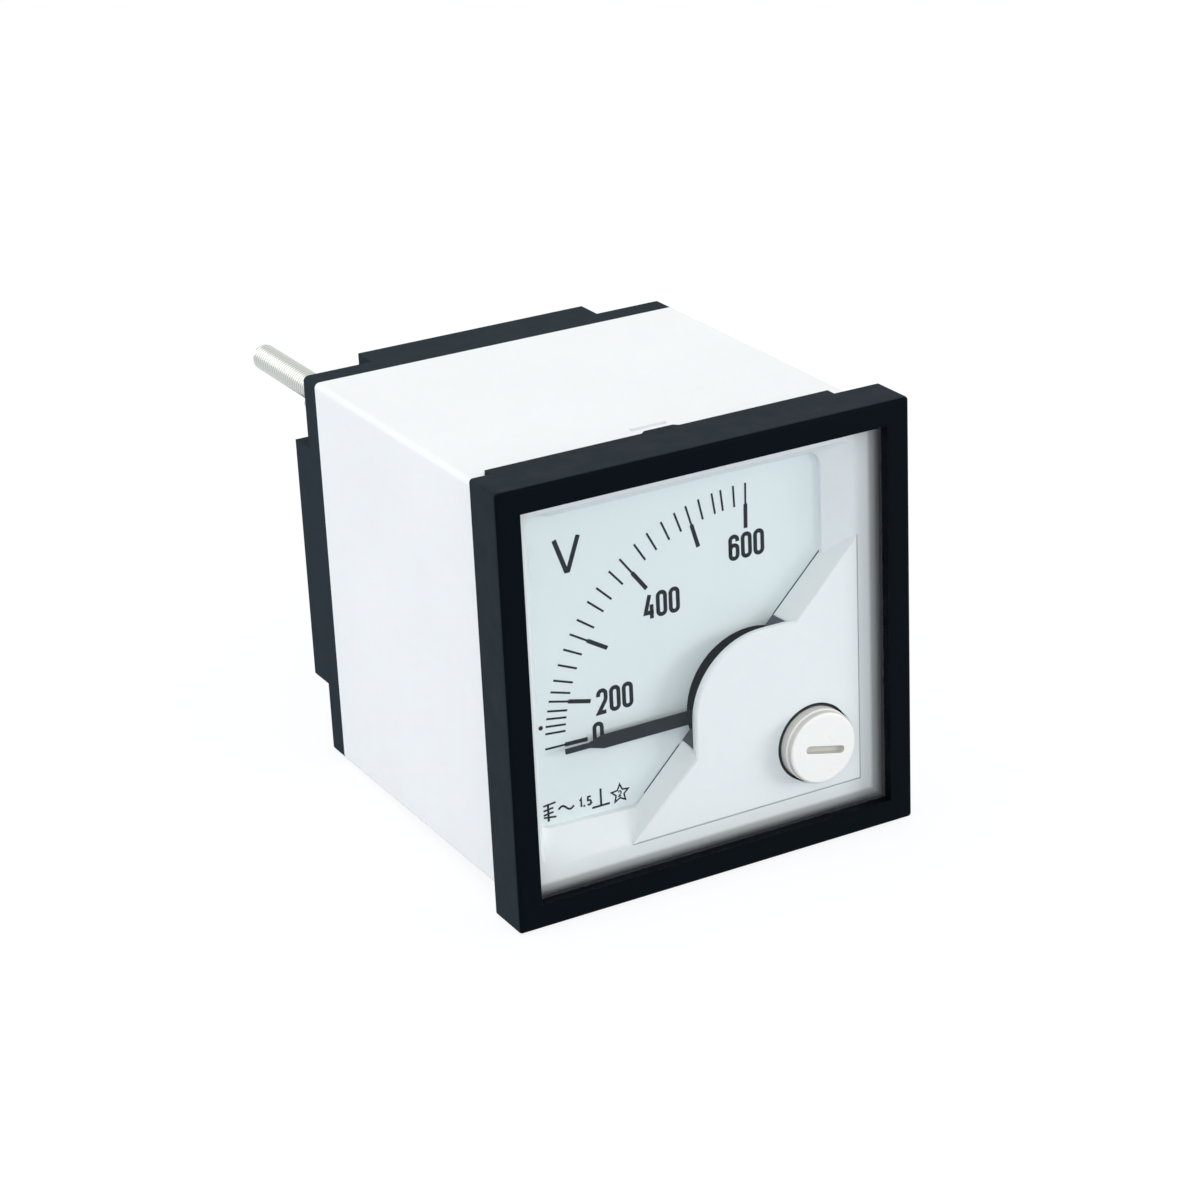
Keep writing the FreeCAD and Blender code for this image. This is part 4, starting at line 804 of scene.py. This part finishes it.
def in_hole(centre, normal):
    """The wall of the knob's hole, which takes painted shade."""
    radius = math.hypot(centre.x - KNOB_X, centre.z - KNOB_Z)
    return radius < HOLE_RADIUS + HOLE_REACH and abs(normal.y) < HOLE_TILT


# The recess wall takes painted shade, and so does the wall of the knob's hole
softened("dial_mask", 0.06, others=((mask_painted_shade, in_recess), (gap_painted_shade, in_hole)), nudge=ease_mask)

# A line of painted shade along the foot of the raised corner
edge, end = PLATEAU_REACH + LINE_OUT, PLATEAU_REACH - FLANK_BASE - LINE_SHORT
work = bmesh.new()
stroke(work, [(edge, end), (edge, -edge), (-end, -edge)], LINE_WIDTH, front=LINE_FRONT, back=LINE_BACK)
new_piece("raised_corner_shade_line", work, painted_step_shade, smooth=None)

# Walls under the ends of the flanks: white plastic painted dark as shade
work = bmesh.new()
middle = (HUB_X - HUB_Z - FLANK_BASE) / 2
for way in (1, -1):
    rows = []
    for inset in (0.0, WALL_THICKNESS):
        (x0, z0), (x1, z1) = [(HUB_X - middle + (way * run + inset) * math.sqrt(0.5),
                               HUB_Z + middle + (way * run - inset) * math.sqrt(0.5)) for run in WALL_RUN]
        rows.append([(x0, WALL_FOOT, z0), (x1, WALL_FOOT, z1), (x1, WALL_HEAD, z1), (x0, WALL_HEAD, z0)])
    skin(work, rows)
new_piece("flank_walls_painted_shade", work, mask_painted_shade)


# Terminals and bezel

SCREW_PITCH = 21.0
SCREW_REACH = 3.2
DRIVE_FLOOR = 45.4
DRIVE_MOUTH = 46.2
DRIVE_HALF = 0.6
BEZEL_SIDE = 22.0
BEZEL_TILT = 0.5


def in_screw_slot(centre, normal):
    """The floor and sides of the slots across the terminal screws, which take painted shade."""
    off_axis = abs(abs(centre.x) - SCREW_PITCH / 2)
    return DRIVE_FLOOR < centre.y < DRIVE_MOUTH and abs(centre.z) < DRIVE_HALF and off_axis < SCREW_REACH


def on_bezel_side(centre, normal):
    """The four outer sides of the bezel, painted lighter as light falls on them."""
    return max(abs(centre.x), abs(centre.z)) > BEZEL_SIDE and abs(normal.y) < BEZEL_TILT


# The slots of the terminal screws take painted shade
softened("terminal_screws", 0.16, segments=3, others=((screw_slot_painted_shade, in_screw_slot),))
softened("terminal_clamps", 0.12)
# The bezel's outer sides take a lighter black than its front, as painted light
softened("bezel", 0.1, others=((bezel_side_painted_light, on_bezel_side),))


# Camera, fitted to the photograph's viewpoint

camera = bpy.data.objects.new("camera", bpy.data.cameras.new("camera"))
camera.location = (-0.154316, -0.268453, 0.135496)
camera.rotation_euler = [math.radians(turn) for turn in (67.2475, 2.5026, -29.2848)]
camera.data.lens = 98.06
camera.data.sensor_width = 36.0
camera.data.clip_start = 0.01
scene.collection.objects.link(camera)
scene.camera = camera


# Floor and light

FLOOR_FRONT = (0.0, -24.0)
FLOOR_REAR = (46.5, -22.4)
FLOOR_DROP = 0.05
FLOOR_SIDE = 3.0
FLOOR_GLOW = 1.21
FLOOR_GLOW_SHARE = 0.72
STUDIO_LIGHT = 0.74
AIM = Vector((0, 0.02, 0))


def seen_directly(tree):
    """A factor that is 1 for rays that show the background: from the camera, in mirrors and through glass."""
    rays = add_node(tree, "ShaderNodeLightPath").outputs
    total = rays["Is Camera Ray"]
    for ray in ("Is Glossy Ray", "Is Transmission Ray"):
        greater = add_node(tree, "ShaderNodeMath", {0: total, 1: rays[ray]}, operation="MAXIMUM")
        total = greater.outputs["Value"]
    return total


world = bpy.data.worlds.new("studio")
world.use_nodes = True
scene.world = world
tree = world.node_tree
light = tree.nodes["Background"]
feed(light.inputs["Color"], (0.97, 0.99, 1.0, 1.0))
feed(light.inputs["Strength"], STUDIO_LIGHT)
shown = add_node(tree, "ShaderNodeBackground", {"Color": (1, 1, 1, 1), "Strength": 1.0})
either = add_node(tree, "ShaderNodeMixShader", {
    "Fac": seen_directly(tree), 1: light.outputs["Background"], 2: shown.outputs["Background"],
})
feed(tree.nodes["World Output"].inputs["Surface"], either.outputs["Shader"])

pale_floor = Finish("floor", srgb(184, 190, 200), 0.8, specular=0.0)
pale_floor.mottle(0.002, 0.01)
glow = pale_floor.add("ShaderNodeEmission", {"Color": (1, 1, 1, 1), "Strength": FLOOR_GLOW})
share = pale_floor.add("ShaderNodeMath", {0: seen_directly(pale_floor.tree), 1: FLOOR_GLOW_SHARE},
                       operation="MULTIPLY")
either = pale_floor.add("ShaderNodeMixShader", {
    "Fac": share.outputs["Value"], 1: pale_floor.shader.outputs["BSDF"], 2: glow.outputs["Emission"],
})
pale_floor.show(either.outputs["Shader"])

slope = (FLOOR_REAR[1] - FLOOR_FRONT[1]) / (FLOOR_REAR[0] - FLOOR_FRONT[0])
corners = []
for x, y in ((-1, -1), (1, -1), (1, 1), (-1, 1)):
    height = (FLOOR_FRONT[1] - FLOOR_DROP) * MM + slope * (y * FLOOR_SIDE - FLOOR_FRONT[0] * MM)
    corners.append((x * FLOOR_SIDE, y * FLOOR_SIDE, height))
mesh = bpy.data.meshes.new("floor")
mesh.from_pydata(corners, [], [(0, 1, 2, 3)])
floor = bpy.data.objects.new("floor", mesh)
scene.collection.objects.link(floor)
finished(floor, pale_floor.material)


def soft_lamp(name, place, size, power):
    """A large square lamp at a place in metres, aimed at the middle of the object."""
    lamp = bpy.data.lights.new(name, "AREA")
    lamp.size = size
    lamp.energy = power
    thing = bpy.data.objects.new(name, lamp)
    thing.location = place
    thing.rotation_euler = (AIM - Vector(place)).to_track_quat("-Z", "Y").to_euler()
    scene.collection.objects.link(thing)


soft_lamp("left", (-0.85, 0.12, 0.3), 0.6, 2.5)
soft_lamp("above", (0.0, 0.2, 0.95), 0.8, 1.6)
soft_lamp("front", (-0.4, -0.85, 0.35), 0.7, 2.3)
soft_lamp("right", (0.78, -0.55, 0.06), 0.4, 4.5)
